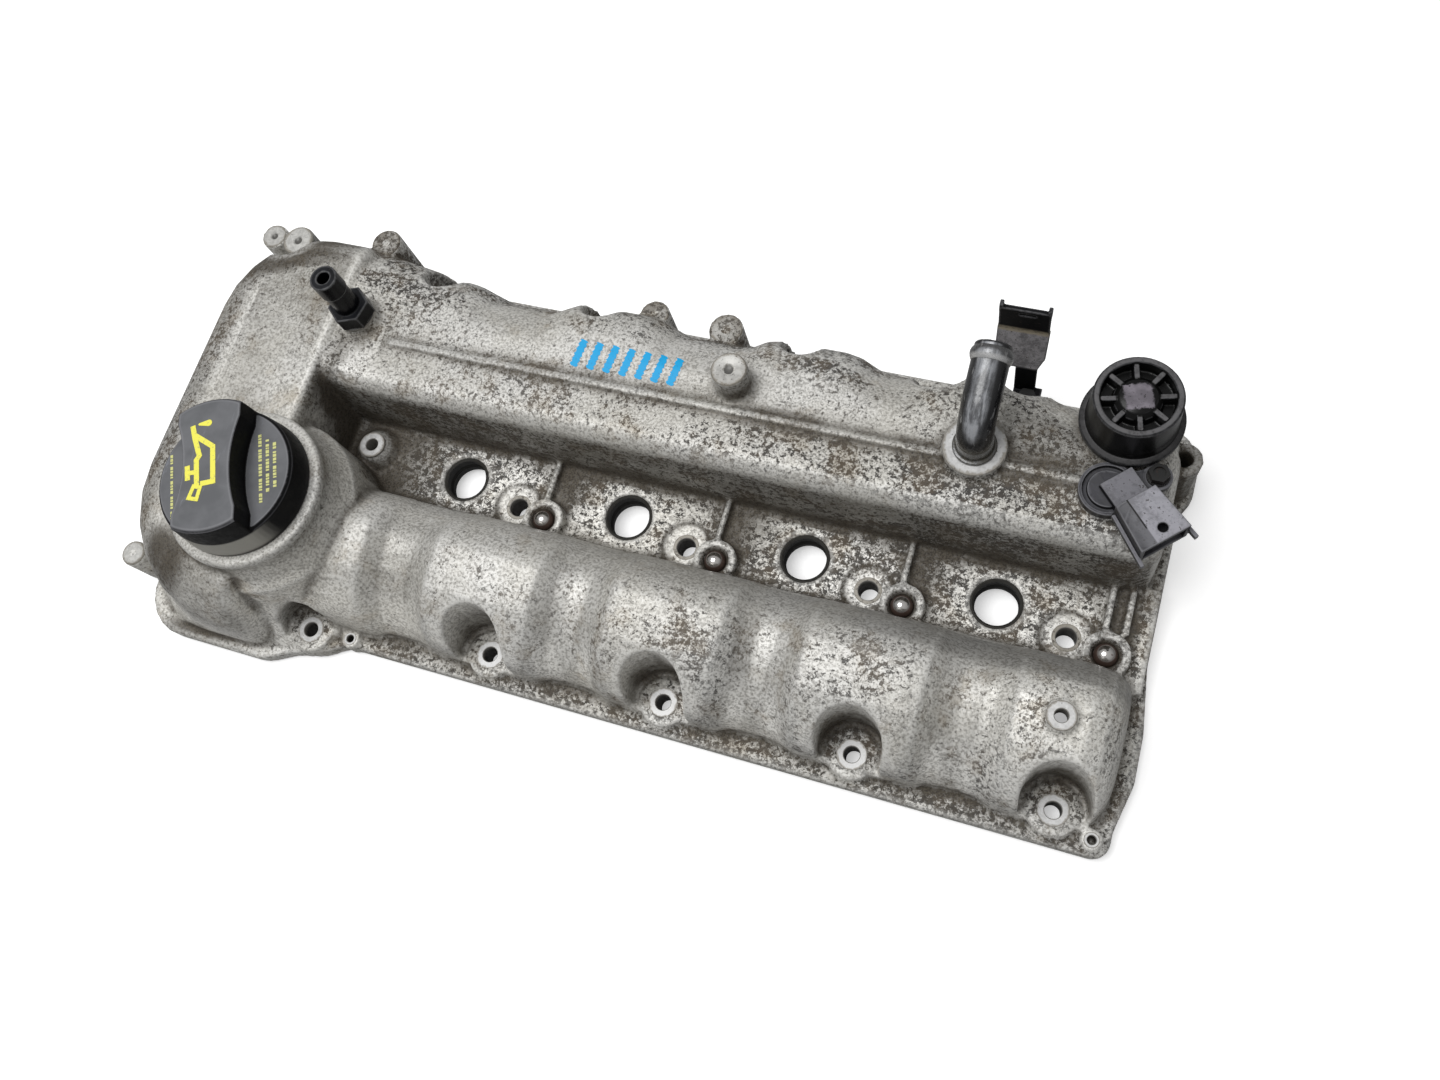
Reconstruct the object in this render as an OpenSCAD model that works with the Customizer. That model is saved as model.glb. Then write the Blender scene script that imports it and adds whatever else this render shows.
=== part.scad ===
// Cylinder head cover of a four-cylinder twin-cam engine, with its filler cap and fittings.
// The sealing face is at z = 0, the injector bores lie along X and the timing end is at -X.

/* [Cylinders] */
// Distance from one injector bore to the next
bore_pitch = 84; // [83:0.5:85]
// Diameter of an injector bore
injector_d = 22; // [20:0.5:23]
// Diameter of the holes for the cover bolts
bolt_hole_d = 6.8; // [6:0.1:7.5]

/* [Flange] */
// Thickness of the flange around the cover
flange_t = 8; // [7:0.5:9]
// Front edge of the flange
front_y = -90.5; // [-92:0.5:-89.5]
// Rear edge of the flange
rear_y = 98.5; // [97.5:0.5:100]
// Right edge of the flange
right_x = 190; // [189:0.5:192]
// Left edge of the flange, at the timing end
timing_x = -278; // [-280:0.5:-277]
// Wall thickness of the casting
wall = 3.6; // [3:0.1:4]

/* [Covers] */
// Height of the front camshaft cover at its swellings
hump_top = 52; // [50:0.5:54]
// How far the front camshaft cover dips between its swellings
hump_dip = 9; // [6:0.5:10]
// Height of the rear camshaft cover
rear_top = 56; // [55:0.5:57]
// Height of the timing chamber
chamber_top = 63; // [62:0.5:64]
// Height of the valley floor between the covers
valley_z = 14; // [13:0.5:15]

/* [Oil filler] */
// Height of the machined rim of the filler neck
neck_top = 72; // [71:0.5:74]
// Diameter of the rim of the filler neck
neck_d = 73; // [72:0.5:74]
// Diameter of the bore of the filler neck
neck_bore_d = 50; // [48:0.5:51]
// Diameter of the filler cap at its skirt
cap_d = 64; // [62:0.5:65]
// Height of the filler cap without its grip
cap_h = 14; // [12:0.5:15]
// Height of the grip above the filler cap
grip_h = 12; // [10:0.5:13]
// Width of the grip at its waist
grip_w = 21.5; // [20:0.5:24]
// Angle of the grip from the length of the head, in degrees
grip_turn = 22; // [-180:1:180]

/* [Fittings] */
// Outer diameter of the breather pipe
pipe_d = 15; // [14:0.5:15.5]
// Diameter of the vent valve at the rim of its cap
vent_d = 33.4; // [33:0.1:34]
// Diameter of the round flange of the camshaft sensor
sensor_d = 22; // [21:0.5:22.5]
// Height of the tip of the hose nipple
nipple_top = 93; // [90:0.5:94]

/* [Hidden] */
$fn = 48;
eps = 1;

// Places along the injector row
bore_x = [for (k = [-1.5:1.5]) k * bore_pitch];
valley_bolt = [30.4, -7.3];
plug_post = [46.6, -11.9];
front_bolt_y = front_y + 13.5;
rear_bolt_y = rear_y - 12.5;
tool_pad = [82, rear_bolt_y];
front_bolts = [
    [-174, -88], [-bore_pitch, front_bolt_y], [0, front_bolt_y], [bore_pitch, front_bolt_y],
    [2 * bore_pitch - 2, front_bolt_y]
];
rear_bolts = [
    [-157, rear_bolt_y], [-76, rear_bolt_y], [20, rear_bolt_y], tool_pad, [160, rear_bolt_y]
];
first_valley_bolt = [-176, 4];
cover_screw = [160, -48];
bolt_boss_r = 10.3;
bolt_boss_z = 12;
seat_ring_r = 6.6;
scallop_r = 14;
rear_scallop_r = 9;
tool_pad_r = 12;
hole_r = bolt_hole_d / 2;
bore_r = injector_d / 2;
tower_r = bore_r + 4.5;

// Corners of the flange, each with the radius that rounds it
timing_front_y = -107;
timing_rear_y = 106;
timing_front_x = -267.7;
cover_corners = [
    [timing_front_x, timing_front_y, 24], [-196, timing_front_y, 16], [-183, -100.5, 10],
    [-168, -97, 8], [-157, front_y, 8], [right_x, front_y, 7], [right_x, -78, 12],
    [right_x + 4.2, -58, 14], [right_x + 3.8, -38, 14], [right_x, -10, 14], [right_x, 58, 8],
    [right_x + 4, 66, 8], [right_x + 4, rear_y, 20], [-172, rear_y, 12], [-184, timing_rear_y, 10],
    [timing_x, timing_rear_y, 50], [timing_x, -58, 12], [timing_front_x, -72, 8]
];
groove_in = 4.2;
groove_w = 3;
groove_h = 2.5;

// Front camshaft cover
hump_y = -42;
hump_front = front_y + 7.5;
hump_rear = -15.5;
hump_x0 = -205;
hump_x1 = right_x - 4;
hump_end_r = 15;
hump_corner = 20;
hump_flat = 22;
hump_fall = 14;
foot_wave = 3;

// Rear camshaft cover and the box in front of it
box_front = 17;
box_lean = 2;
box_edge_r = 8;
box_shoulder = 58;
rear_foot = rear_y - 6.5;
rear_x0 = -205;
rear_x1 = right_x - 6;
rear_end_r = 11;
rear_swellings = [-160, -68, 26, 104];
rear_flat = 15;
rear_fall = 17;
rib_y = 43.4;

// Timing chamber, with two bosses behind its rear corner
timing_boss_1 = [-265.2, 96.1];
timing_boss_2 = [-236.9, 87.5];
timing_boss_r = [6.8, 8];
timing_boss_z = [36, 53];
chamber_x0 = timing_x + 9;
chamber_x1 = -191;
chamber_y0 = timing_front_y + 5.5;
chamber_y1 = timing_rear_y - 12.5;

// Zones of the casting: its low and high limits in X and then in Y
timing_split = -147;
rear_split = 62;
valley_split = 24;
neck_split = [-238.5, -86.5, 52.5];
neck_split_rear = -0.5;
far = 300;
zones = [
    [-far, timing_split, -far, far],
    [timing_split, far, -far, -valley_split],
    [timing_split, far, -valley_split, valley_split],
    [timing_split, rear_split, valley_split, far],
    [rear_split, far, valley_split, far]
];

// Seats of the fittings
filler = [-194.5, -43.6];
pipe_seat = [105, 47.8];
nipple_seat = [-183.3, 51.5];
vent_seat = [161, 70.5];
sensor_seat = [158, 40.5];
sensor_screw = [175, 49.9];
sensor_turn = -46;
connector_x0 = 9.8;
connector_x1 = 30;
connector_y = 4.3;
connector_w = 17;
connector_h = 11.6;
connector_splay = 5.5;
bracket_seat = [118, 88.7];
bracket_pad_r = 10.3;
bracket_leg = 5.3;
grip_hollow_r = 62;
seal_r = 29.3;
seal_h = 2.2;
pipe_seat_z = rear_top + 5;
nipple_seat_z = rear_top + 5;
vent_seat_z = rear_top + 3.5;
sensor_seat_z = rear_top + 2.5;
bracket_seat_z = 22;
bracket_t = 2;
plate_z = 43.5;
plate_lean = 15;
plate_h = 22;
tab_y = bracket_seat[1] + bracket_leg + plate_h * sin(plate_lean);
tab_z = plate_z + plate_h * cos(plate_lean);
tab_h = 16;
pipe_stub = 8;
pipe_sunk = 15;
pipe_bend_r = 14;
pipe_bend_a = 76;
pipe_run = 21.5;
pipe_wall = 1.2;
pipe_thin = 0.12;
pipe_lap = 0.5;
baffle_z = 24;
baffle_t = 1.5;
baffle_screw_at = [[-140, 34], [-50, 34], [40, 34], [135, 34], [-140, 66], [-66, 68], [40, 68]];

// Number between 0 and 1 that rises smoothly as u goes from 0 to 1
function ramp(u) = let (c = min(1, max(0, u))) c * c * (3 - 2 * c);

// Plateau of height 1 around a centre, with smooth sides
function swell(x, centre, flat, fall) = 1 - ramp((abs(x - centre) - flat) / fall);

// Power that keeps the sign of its base
function signed_pow(v, e) = sign(v) * pow(abs(v), e);

// Factor that falls from 1 to 0 over a rounded end
function end_round(x, x1, r) = x <= x1 - r ? 1 : sqrt(max(0, 1 - pow((x - x1 + r) / r, 2)));

// Points of a polygon whose corners are rounded by their third value
function rounded(corners, steps = 6) = [
    for (i = [0:len(corners) - 1])
        let (
            n = len(corners),
            c = [corners[i][0], corners[i][1]],
            a = [corners[(i + n - 1) % n][0], corners[(i + n - 1) % n][1]] - c,
            b = [corners[(i + 1) % n][0], corners[(i + 1) % n][1]] - c,
            ua = a / norm(a),
            ub = b / norm(b),
            half = acos(ua * ub) / 2,
            r = corners[i][2],
            mid = (ua + ub) / norm(ua + ub),
            centre = c + mid * r / sin(half),
            start = atan2(-mid[1], -mid[0]),
            turn = (ua[0] * ub[1] - ua[1] * ub[0]) < 0 ? 1 : -1
        )
        for (j = [0:steps])
            let (angle = start + turn * (j / steps - 0.5) * (180 - 2 * half))
            centre + r * [cos(angle), sin(angle)]
];

// Triangles that join n sections of m points each
function loft_faces(n, m) = concat(
    [[for (j = [0:m - 1]) j]],
    [for (i = [0:n - 2], j = [0:m - 1]) [i * m + j, (i + 1) * m + j, (i + 1) * m + (j + 1) % m]],
    [for (i = [0:n - 2], j = [0:m - 1]) [i * m + j, (i + 1) * m + (j + 1) % m, i * m + (j + 1) % m]],
    [[for (j = [m - 1:-1:0]) (n - 1) * m + j]]
);

// Places of the sections of a cover, closer together over its rounded end
function stations(x0, x1, step, r) =
    let (n = round((x1 - r - x0) / step))
    concat(
        [for (i = [0:n]) x0 + i * (x1 - r - x0) / n],
        [for (a = [25, 45, 65, 80, 90]) x1 - r + r * sin(a)]
    );

function front_swell(x) = max([for (k = [-2:2]) swell(x, k * bore_pitch, hump_flat, hump_fall)]);
function rear_swell(x) = max([for (c = rear_swellings) swell(x, c, rear_flat, rear_fall)]);

// Section of the front camshaft cover at x, thinned by t
function hump_section(x, t, steps) =
    let (
        s = front_swell(x),
        e = end_round(x, hump_x1 - t, hump_end_r),
        height = (hump_top - hump_dip * (1 - s) - t - flange_t) * (0.25 + 0.75 * e),
        draw = t + 9 * (1 - e),
        front_draw = t + hump_corner * (1 - e) + foot_wave * (1 - s),
        front_power = 1.9 + 0.7 * s,
        rear_power = 1.75
    )
    concat(
        [[hump_rear - draw, t > 0 ? -eps : eps]],
        [
            for (i = [0:steps])
                let (
                    a = 180 * i / steps,
                    power = a <= 90 ? rear_power : front_power,
                    half = a <= 90 ? hump_rear - draw - hump_y : hump_y - hump_front - front_draw
                )
                [hump_y + half * signed_pow(cos(a), 2 / power),
                 flange_t + height * signed_pow(sin(a), 2 / power)]
        ],
        [[hump_front + front_draw, t > 0 ? -eps : eps]]
    );

// Section of the rear camshaft cover and its box at x, thinned by t
function rear_section(x, t, steps) =
    let (
        s = rear_swell(x),
        e = end_round(x, rear_x1 - t, rear_end_r),
        joined = 1 - ramp((x - chamber_x1 - 8) / 42),
        top = rear_top + 6 * (1 - ramp((x - chamber_x1 + 8) / 35)) - t - 14 * (1 - e),
        draw = t + 8 * (1 - e),
        edge_r = max(3, box_edge_r - t),
        power = 1.7 + 1.2 * max(s, joined),
        half = rear_foot + 5 * joined - draw - box_shoulder
    )
    concat(
        [
            for (i = [0:steps])
                let (a = 90 * i / steps)
                [box_shoulder + half * signed_pow(cos(a), 2 / power),
                 flange_t + (top - flange_t) * signed_pow(sin(a), 2 / power)]
        ],
        [
            for (i = [0:4])
                let (a = 90 + 90 * i / 4)
                [box_front + draw + box_lean + edge_r * (1 + cos(a)), top - edge_r * (1 - sin(a))]
        ],
        [
            [box_front + draw, t > 0 ? -eps : eps],
            [rear_foot + 5 * joined - draw, t > 0 ? -eps : eps]
        ]
    );

// How far a rounded wall has leaned in at height z: a wide and b high under the top
function lean(z, top, a, b) = z <= top - b ? 0 : a * (1 - sqrt(max(0, 1 - pow((z - top + b) / b, 2))));

// Outline of the timing chamber at height z, thinned by t
function chamber_ring(z, t) =
    let (
        top = chamber_top - t,
        left = lean(z, top, 30, 34) + t,
        right = lean(z, top, 3, 5) + t,
        front = lean(z, top, 26, 34) + t,
        rear = lean(z, top, 15, 26) + t,
        x0 = chamber_x0 + left,
        x1 = chamber_x1 - right,
        y0 = chamber_y0 + front,
        y1 = chamber_y1 - rear
    )
    rounded([
        [x0, y0, max(10, 28 + 36 * ramp(z / 34) - left / 2 - front / 2)],
        [x1, y0, max(4, 12 - front / 3)],
        [x1, y1, max(4, 9 - rear / 2)], [x0, y1, max(10, 50 - left / 2 - rear / 2)]
    ]);

module cover_outline(inset) {
    offset(delta = -inset) polygon(rounded(cover_corners));
}

module loft_x(xs, sections) {
    points = [for (i = [0:len(xs) - 1], p = sections[i]) [xs[i], p[0], p[1]]];
    polyhedron(points, loft_faces(len(xs), len(sections[0])), convexity = 8);
}

module front_hump(t, step, steps) {
    xs = stations(hump_x0 + t, hump_x1 - t, step, hump_end_r);
    loft_x(xs, [for (x = xs) hump_section(x, t, steps)]);
}

module rear_cover(t, step, steps) {
    xs = stations(rear_x0 + t, rear_x1 - t, step, rear_end_r);
    loft_x(xs, [for (x = xs) rear_section(x, t, steps)]);
}

module timing_chamber(t) {
    top = chamber_top - t;
    zs = concat([t > 0 ? -eps : eps, 24], [for (d = [30, 22, 15, 9.5, 5, 2.2, 0.6, 0]) top - d]);
    rings = [for (z = zs) chamber_ring(z, t)];
    points = [for (i = [0:len(zs) - 1], p = rings[i]) [p[0], p[1], zs[i]]];
    polyhedron(points, loft_faces(len(zs), len(rings[0])), convexity = 8);
}

module boss(at, r, z0, z1) {
    translate([at[0], at[1], z0]) cylinder(r = r, h = z1 - z0);
}

// Scallops that clear the heads and tools of the outer bolts
module scallops() {
    for (i = [1:len(front_bolts) - 1]) boss(front_bolts[i], scallop_r, bolt_boss_z - eps, 90);
    for (p = rear_bolts) boss(p, rear_scallop_r, bolt_boss_z - eps, 90);
    neck_scallop(0, bolt_boss_z - eps);
    boss(tool_pad, tool_pad_r, bolt_boss_z - eps, 90);
    boss(bracket_seat, bracket_pad_r, bracket_seat_z, 90);
    boss(timing_boss_1, timing_boss_r[0] + 4, timing_boss_z[0] - 10, 90);
    boss(timing_boss_2, timing_boss_r[1] + 5.5, timing_boss_z[1] - 9, 90);
}

// Scallop beside the filler neck, narrower above so that it passes the neck, grown by t
module neck_scallop(t, z0) {
    at = front_bolts[0];
    translate([at[0], at[1], 0]) rotate_extrude() polygon([
        [0, z0], [12 + t, z0], [12 + t, 21], [7.4 + t, 34 + t], [7.4 + t, 90], [0, 90]
    ]);
}

// Foot of the filler neck, which flares towards the front edge
module neck_apron() {
    r = neck_d / 2 + 4.8;
    translate([filler[0], filler[1], 0]) rotate(180) rotate_extrude(angle = 180) polygon([
        [0, eps], [r + 14.7, eps], [r + 14.7, flange_t], [r + 10.5, 13], [r + 7, 19], [r + 3.8, 27],
        [r + 1.5, 36], [r + 0.6, 44], [r - 2, 47], [0, 47]
    ]);
}

module neck_space() {
    r = neck_d / 2 + 4.8;
    difference() {
        translate([filler[0], filler[1], 0]) rotate(180) rotate_extrude(angle = 180) polygon([
            [0, -eps], [r + 5, -eps], [r + 5, 14], [r + 2.5, 24], [r - 2.2, 36], [r - 3.2, 44], [0, 44]
        ]);
        neck_scallop(wall, -2 * eps);
    }
}

module filler_neck() {
    r = neck_d / 2;
    translate([filler[0], filler[1], 0]) rotate_extrude() polygon([
        [0, 48], [r + 4.8, 48], [r + 4, 51], [r + 1.5, 56], [r - 0.8, neck_top - 8], [r - 0.8, neck_top - 5],
        [r, neck_top - 4], [r, neck_top - 1], [r - 1, neck_top], [0, neck_top]
    ]);
}

module valley() {
    translate([chamber_x1 - 4, hump_rear - 8, flange_t - 4])
        cube([right_x - 0.8 - chamber_x1 + 4, box_front + 4 - hump_rear + 8, valley_z - flange_t + 4]);
    for (x = bore_x) {
        boss([x, 0], tower_r, eps, valley_z - 0.5);
        boss([x + plug_post[0], plug_post[1]], 9.8, 2, valley_z + 6);
    }
    for (x = bore_x)
        translate([x + plug_post[0] - 3.4, plug_post[1] + 7, valley_z - eps])
            cube([2.6, box_front - plug_post[1] - 6, 5.5]);
    translate([bore_x[3] + plug_post[0] + 4.6, -2, valley_z - eps]) cube([2.4, box_front + 3, 4.5]);
    translate([first_valley_bolt[0], first_valley_bolt[1], valley_z - eps])
        cylinder(r1 = 12.5, r2 = 6.6, h = 7);
}

module outer_bosses() {
    for (p = concat(front_bolts, rear_bolts)) {
        boss(p, bolt_boss_r, eps, bolt_boss_z);
        boss(p, seat_ring_r, bolt_boss_z - eps, bolt_boss_z + 0.6);
    }
    boss([-154, -87], 4.4, eps, 11);
    boss([right_x - 7.5, front_y + 6.5], 4.3, eps, 11);
    boss([-274.5, -77], 6.3, eps, 23);
    boss(timing_boss_1, timing_boss_r[0], eps, timing_boss_z[0]);
    boss(timing_boss_2, timing_boss_r[1], timing_boss_z[1] - 12, timing_boss_z[1]);
    boss([-193.6, 97], 7.6, eps, 48);
    boss([-53.4, rear_y - 7.5], 7.1, eps, 37);
    boss([-18.7, rear_y - 7.5], 8, eps, 35);
    translate([right_x - 5, 69, eps]) cylinder(r1 = 6.4, r2 = 7.2, h = 40 - eps);
    boss([bracket_seat[0], bracket_seat[1]], 7, eps, bracket_seat_z);
}

module top_bosses() {
    boss([0, 56], 8, rear_top - 14, 70);
    boss(pipe_seat, 13, rear_top - 8, pipe_seat_z);
    boss(nipple_seat, 8.6, rear_top - 8, nipple_seat_z);
    boss(vent_seat, 17.5, rear_top - 20, vent_seat_z);
    boss(sensor_seat, 10.6, rear_top - 8, sensor_seat_z);
    boss(sensor_screw, 5.8, rear_top - 16, sensor_seat_z);
    boss(cover_screw, 6, hump_top - 14, hump_top + 2);
    translate([-165, rib_y - 1, rear_top - 6]) cube([pipe_seat[0] + 159, 2, 7.4]);
    translate([pipe_seat[0] + 10, rib_y, rear_top - 6]) cube([32, 2, 7.4]);
    translate([cover_screw[0] - 0.8, cover_screw[1] + 5, hump_top - 8]) cube([1.6, 4, 9]);
}

// Space under the front camshaft cover, kept off the bolt scallops
module front_space() {
    difference() {
        front_hump(wall, 14, 10);
        for (i = [1:len(front_bolts) - 1]) boss(front_bolts[i], scallop_r + wall, -2 * eps, 90);
        neck_scallop(wall, -2 * eps);
    }
}

module rear_space() {
    difference() {
        rear_cover(wall, 14, 8);
        for (p = rear_bolts) boss(p, rear_scallop_r + wall, -2 * eps, 90);
        boss(tool_pad, tool_pad_r + wall, -2 * eps, 90);
        for (p = baffle_screw_at) boss(p, 5, baffle_z + baffle_t, 90);
        boss(sensor_screw, 6, 30, 90);
        boss([0, 56], 6, 40, 90);
        boss([right_x - 5, 69], 10.5, -2 * eps, 90);
        boss(bracket_seat, 8.5, -2 * eps, 90);
        boss(bracket_seat, bracket_pad_r + wall, bracket_seat_z - wall, 90);
    }
}

module chamber_space() {
    difference() {
        timing_chamber(wall);
        neck_scallop(wall, -2 * eps);
        boss(timing_boss_1, timing_boss_r[0] + 4 + wall, -2 * eps, 90);
        boss(timing_boss_2, timing_boss_r[1] + 5.5 + wall, timing_boss_z[1] - 9 - wall, 90);
    }
}

// Pockets between the injector towers, under the valley floor
module valley_pockets() {
    difference() {
        translate([first_valley_bolt[0] - 5, hump_rear + 4.5, -eps])
            cube([hump_x1 - 6 - first_valley_bolt[0] + 5, box_front - 3.5 - hump_rear - 4.5, valley_z - 5 + eps]);
        for (x = bore_x) {
            boss([x, 0], tower_r, -2 * eps, 30);
            boss([x + valley_bolt[0], valley_bolt[1]], 8, -2 * eps, 30);
            boss([x + plug_post[0], plug_post[1]], 8.5, 3, 30);
        }
        boss(first_valley_bolt, 8, -2 * eps, 30);
    }
}

module casting_holes() {
    for (p = concat(front_bolts, rear_bolts)) boss(p, hole_r, -2 * eps, 30);
    for (x = bore_x) {
        boss([x, 0], bore_r, -2 * eps, 30);
        boss([x + valley_bolt[0], valley_bolt[1]], 4.3, -2 * eps, 30);
        boss([x + valley_bolt[0], valley_bolt[1]], 11.5, valley_z - 1.2, valley_z + 4);
        boss([x + plug_post[0], plug_post[1]], 4.9, valley_z - 1.9, 40);
        boss([x + plug_post[0], plug_post[1]], 6.3, valley_z + 3.5, 40);
    }
    boss(first_valley_bolt, 3, -2 * eps, 30);
    boss(filler, neck_bore_d / 2, 30, 90);
    boss(pipe_seat, pipe_d / 2, 30, 90);
    boss(nipple_seat, 5, 30, 90);
    boss(nipple_seat, 9.8, nipple_seat_z, 90);
    boss(vent_seat, 12, 30, 90);
    boss(sensor_seat, 8.5, 30, 90);
    boss(sensor_screw, 2.5, sensor_seat_z - 14, 90);
    boss(cover_screw, 2.6, hump_top - 8, 90);
    boss([0, 56], 2, 64, 90);
    boss([-154, -87], 1.7, -2 * eps, 30);
    boss([right_x - 7.5, front_y + 6.5], 1.7, 4, 30);
    boss([right_x - 5, 69], 3.4, 20, 50);
    boss(timing_boss_1, 2.2, timing_boss_z[0] - 2.5, 90);
    boss(timing_boss_2, 2.4, timing_boss_z[1] - 2.5, 90);
    boss(bracket_seat, 2.5, 8, 40);
    for (p = baffle_screw_at) boss(p, 1.6, baffle_z, baffle_z + 12);
}

module gasket_ring(h) {
    linear_extrude(h) difference() {
        cover_outline(groove_in);
        cover_outline(groove_in + groove_w);
    }
}

module whole_casting() {
    difference() {
        union() {
            linear_extrude(flange_t) cover_outline(0);
            difference() {
                union() {
                    front_hump(0, 7, 16);
                    rear_cover(0, 7, 10);
                    timing_chamber(0);
                    boss(filler, neck_d / 2 + 5, flange_t, 50);
                    neck_apron();
                }
                scallops();
            }
            filler_neck();
            valley();
            outer_bosses();
            top_bosses();
        }
        front_space();
        rear_space();
        chamber_space();
        neck_space();
        valley_pockets();
        casting_holes();
        translate([0, 0, -eps]) gasket_ring(groove_h + eps);
    }
}

// The casting is one piece, kept as six zones that meet on flat faces
module casting_zone(i) {
    z = zones[i];
    intersection() {
        whole_casting();
        translate([z[0], z[2], -eps]) cube([z[1] - z[0], z[3] - z[2], neck_top + 2 * eps]);
    }
}

module neck_box() {
    translate(neck_split) cube([timing_split - neck_split[0], neck_split_rear - neck_split[1], neck_top]);
}

module casting_timing_end() {
    color("silver") difference() {
        casting_zone(0);
        neck_box();
    }
}

module casting_neck() {
    color("silver") intersection() {
        whole_casting();
        neck_box();
    }
}

module casting_front() {
    color("silver") casting_zone(1);
}

module casting_valley() {
    color("silver") casting_zone(2);
}

module casting_rear_left() {
    color("silver") casting_zone(3);
}

module casting_rear_right() {
    color("silver") casting_zone(4);
}

module cover_gasket() {
    color("dimgray") gasket_ring(groove_h);
}

module oil_baffle() {
    color("lightgray") difference() {
        translate([-160, 27, baffle_z]) cube([315, 48, baffle_t]);
        for (p = baffle_screw_at) boss(p, 2, baffle_z - eps, baffle_z + 4);
        for (p = rear_bolts) boss(p, rear_scallop_r + wall + 1, baffle_z - eps, baffle_z + 4);
        boss(tool_pad, tool_pad_r + wall + 1, baffle_z - eps, baffle_z + 4);
        for (x = [-110:30:130]) boss([x, 52], 5, baffle_z - eps, baffle_z + 4);
    }
}

module baffle_screws() {
    color("gray") for (p = baffle_screw_at) {
        boss(p, 3.6, baffle_z - 2.2, baffle_z);
        boss(p, 1.6, baffle_z - eps, baffle_z + 10);
    }
}

module injector_seal(i) {
    color("black") translate([bore_x[i], 0, 0]) rotate_extrude() polygon([
        [bore_r, 2], [bore_r, valley_z - 0.8], [bore_r - 0.7, valley_z - 0.3], [bore_r - 1.5, valley_z - 1],
        [bore_r - 1, valley_z - 2.4], [bore_r - 1, 8], [bore_r - 1.9, 6.5], [bore_r - 1.2, 5],
        [bore_r - 1.2, 2]
    ]);
}

module ball_plug(i) {
    color("silver") translate([bore_x[i] + plug_post[0], plug_post[1], valley_z + 3]) sphere(r = 4.9);
}

// Outline of the grip of the filler cap, waisted between its ends
module grip_outline() {
    half = grip_w / 2;
    difference() {
        translate([-0.8, 0]) square([grip_w + 7, cap_d + 2], center = true);
        for (s = [-1, 1]) translate([s * (half + grip_hollow_r) - 0.8, 0])
            circle(r = grip_hollow_r, $fn = 128);
    }
}

module filler_cap() {
    top = neck_top + cap_h;
    r = cap_d / 2;
    plug_r = neck_bore_d / 2 - 0.5;
    color("black") translate([filler[0], filler[1], 0]) rotate(grip_turn) difference() {
        union() {
            rotate_extrude() polygon([
                [0, neck_top + 0.3], [r, neck_top + 0.3], [r, neck_top + 3], [r - 1, top - 1.5],
                [r - 2.5, top], [0, top]
            ]);
            intersection() {
                translate([0, 0, top - 3]) linear_extrude(grip_h + 3) grip_outline();
                rotate_extrude() polygon([
                    [0, top - 3], [r - 0.9, top - 3], [r - 1.5, top + grip_h - 1.2],
                    [r - 2.7, top + grip_h], [0, top + grip_h]
                ]);
            }
            boss([0, 0], plug_r, neck_top - 16, neck_top + 2);
        }
        boss([0, 0], plug_r - 3.5, neck_top - 18, top - 4);
        difference() {
            boss([0, 0], seal_r + 0.3, neck_top - 2, neck_top + seal_h);
            boss([0, 0], plug_r, neck_top - 3, neck_top + 3);
        }
    }
}

module filler_cap_seal() {
    color("dimgray") translate([filler[0], filler[1], neck_top]) difference() {
        cylinder(r = seal_r, h = seal_h);
        translate([0, 0, -eps]) cylinder(r = neck_bore_d / 2 + 0.3, h = seal_h + 2 * eps);
    }
}

// Wall of the breather pipe in three runs: the stub, the bend and the end with its bead
module breather_pipe() {
    r = pipe_d / 2;
    inner = r - pipe_wall;
    color("black") translate([pipe_seat[0], pipe_seat[1], pipe_seat_z]) {
        rotate_extrude() polygon([
            [inner, -pipe_sunk], [r, -pipe_sunk], [r, 0], [r + 1.4, 0], [r + 1.4, 1.6], [r, 1.6],
            [r, pipe_stub + pipe_lap], [inner, pipe_stub + pipe_lap]
        ]);
        translate([0, pipe_bend_r, pipe_stub]) rotate([90, 0, -90]) rotate_extrude(angle = pipe_bend_a)
            translate([pipe_bend_r, 0]) difference() {
                circle(r = r - pipe_thin);
                circle(r = inner + pipe_thin);
            }
        translate([0, pipe_bend_r * (1 - cos(pipe_bend_a)), pipe_stub + pipe_bend_r * sin(pipe_bend_a)])
            rotate([-pipe_bend_a, 0, 0]) rotate_extrude() polygon([
                [inner, -pipe_lap], [r, -pipe_lap], [r, pipe_run - 0.8], [r - 0.8, pipe_run],
                [inner, pipe_run]
            ]);
    }
}

module hose_nipple() {
    z0 = nipple_seat_z + 1.2;
    color("black") translate([nipple_seat[0], nipple_seat[1], 0]) difference() {
        union() {
            translate([0, 0, z0]) rotate(20) cylinder(d = 19.6, h = 8, $fn = 6);
            boss([0, 0], 5, nipple_seat_z - 11, z0 + 2);
            boss([0, 0], 5.7, z0 + 7, nipple_top - 1);
            translate([0, 0, nipple_top - 10]) cylinder(r = 6.3, h = 10);
        }
        boss([0, 0], 3, nipple_seat_z - 12, nipple_top + 2);
    }
}

module nipple_washer() {
    color("peru") translate([nipple_seat[0], nipple_seat[1], nipple_seat_z]) difference() {
        cylinder(r = 9, h = 1.2);
        translate([0, 0, -eps]) cylinder(r = 5.2, h = 4);
    }
}

module vent_valve_body() {
    r = vent_d / 2;
    z0 = vent_seat_z;
    color("black") translate([vent_seat[0], vent_seat[1], z0]) rotate_extrude() polygon([
        [5, -14], [11.7, -14], [11.7, -6.4], [10.2, -6.4], [10.2, -3.8], [11.7, -3.8], [11.7, 0],
        [r - 0.2, 0], [r + 1, 2], [r + 3.3, 2.6], [r + 3.3, 5.4], [r + 1.2, 6.4], [r - 1.9, 6.4],
        [r - 1.9, 4], [7.5, 4], [7.5, 7], [5, 7]
    ]);
}

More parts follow.
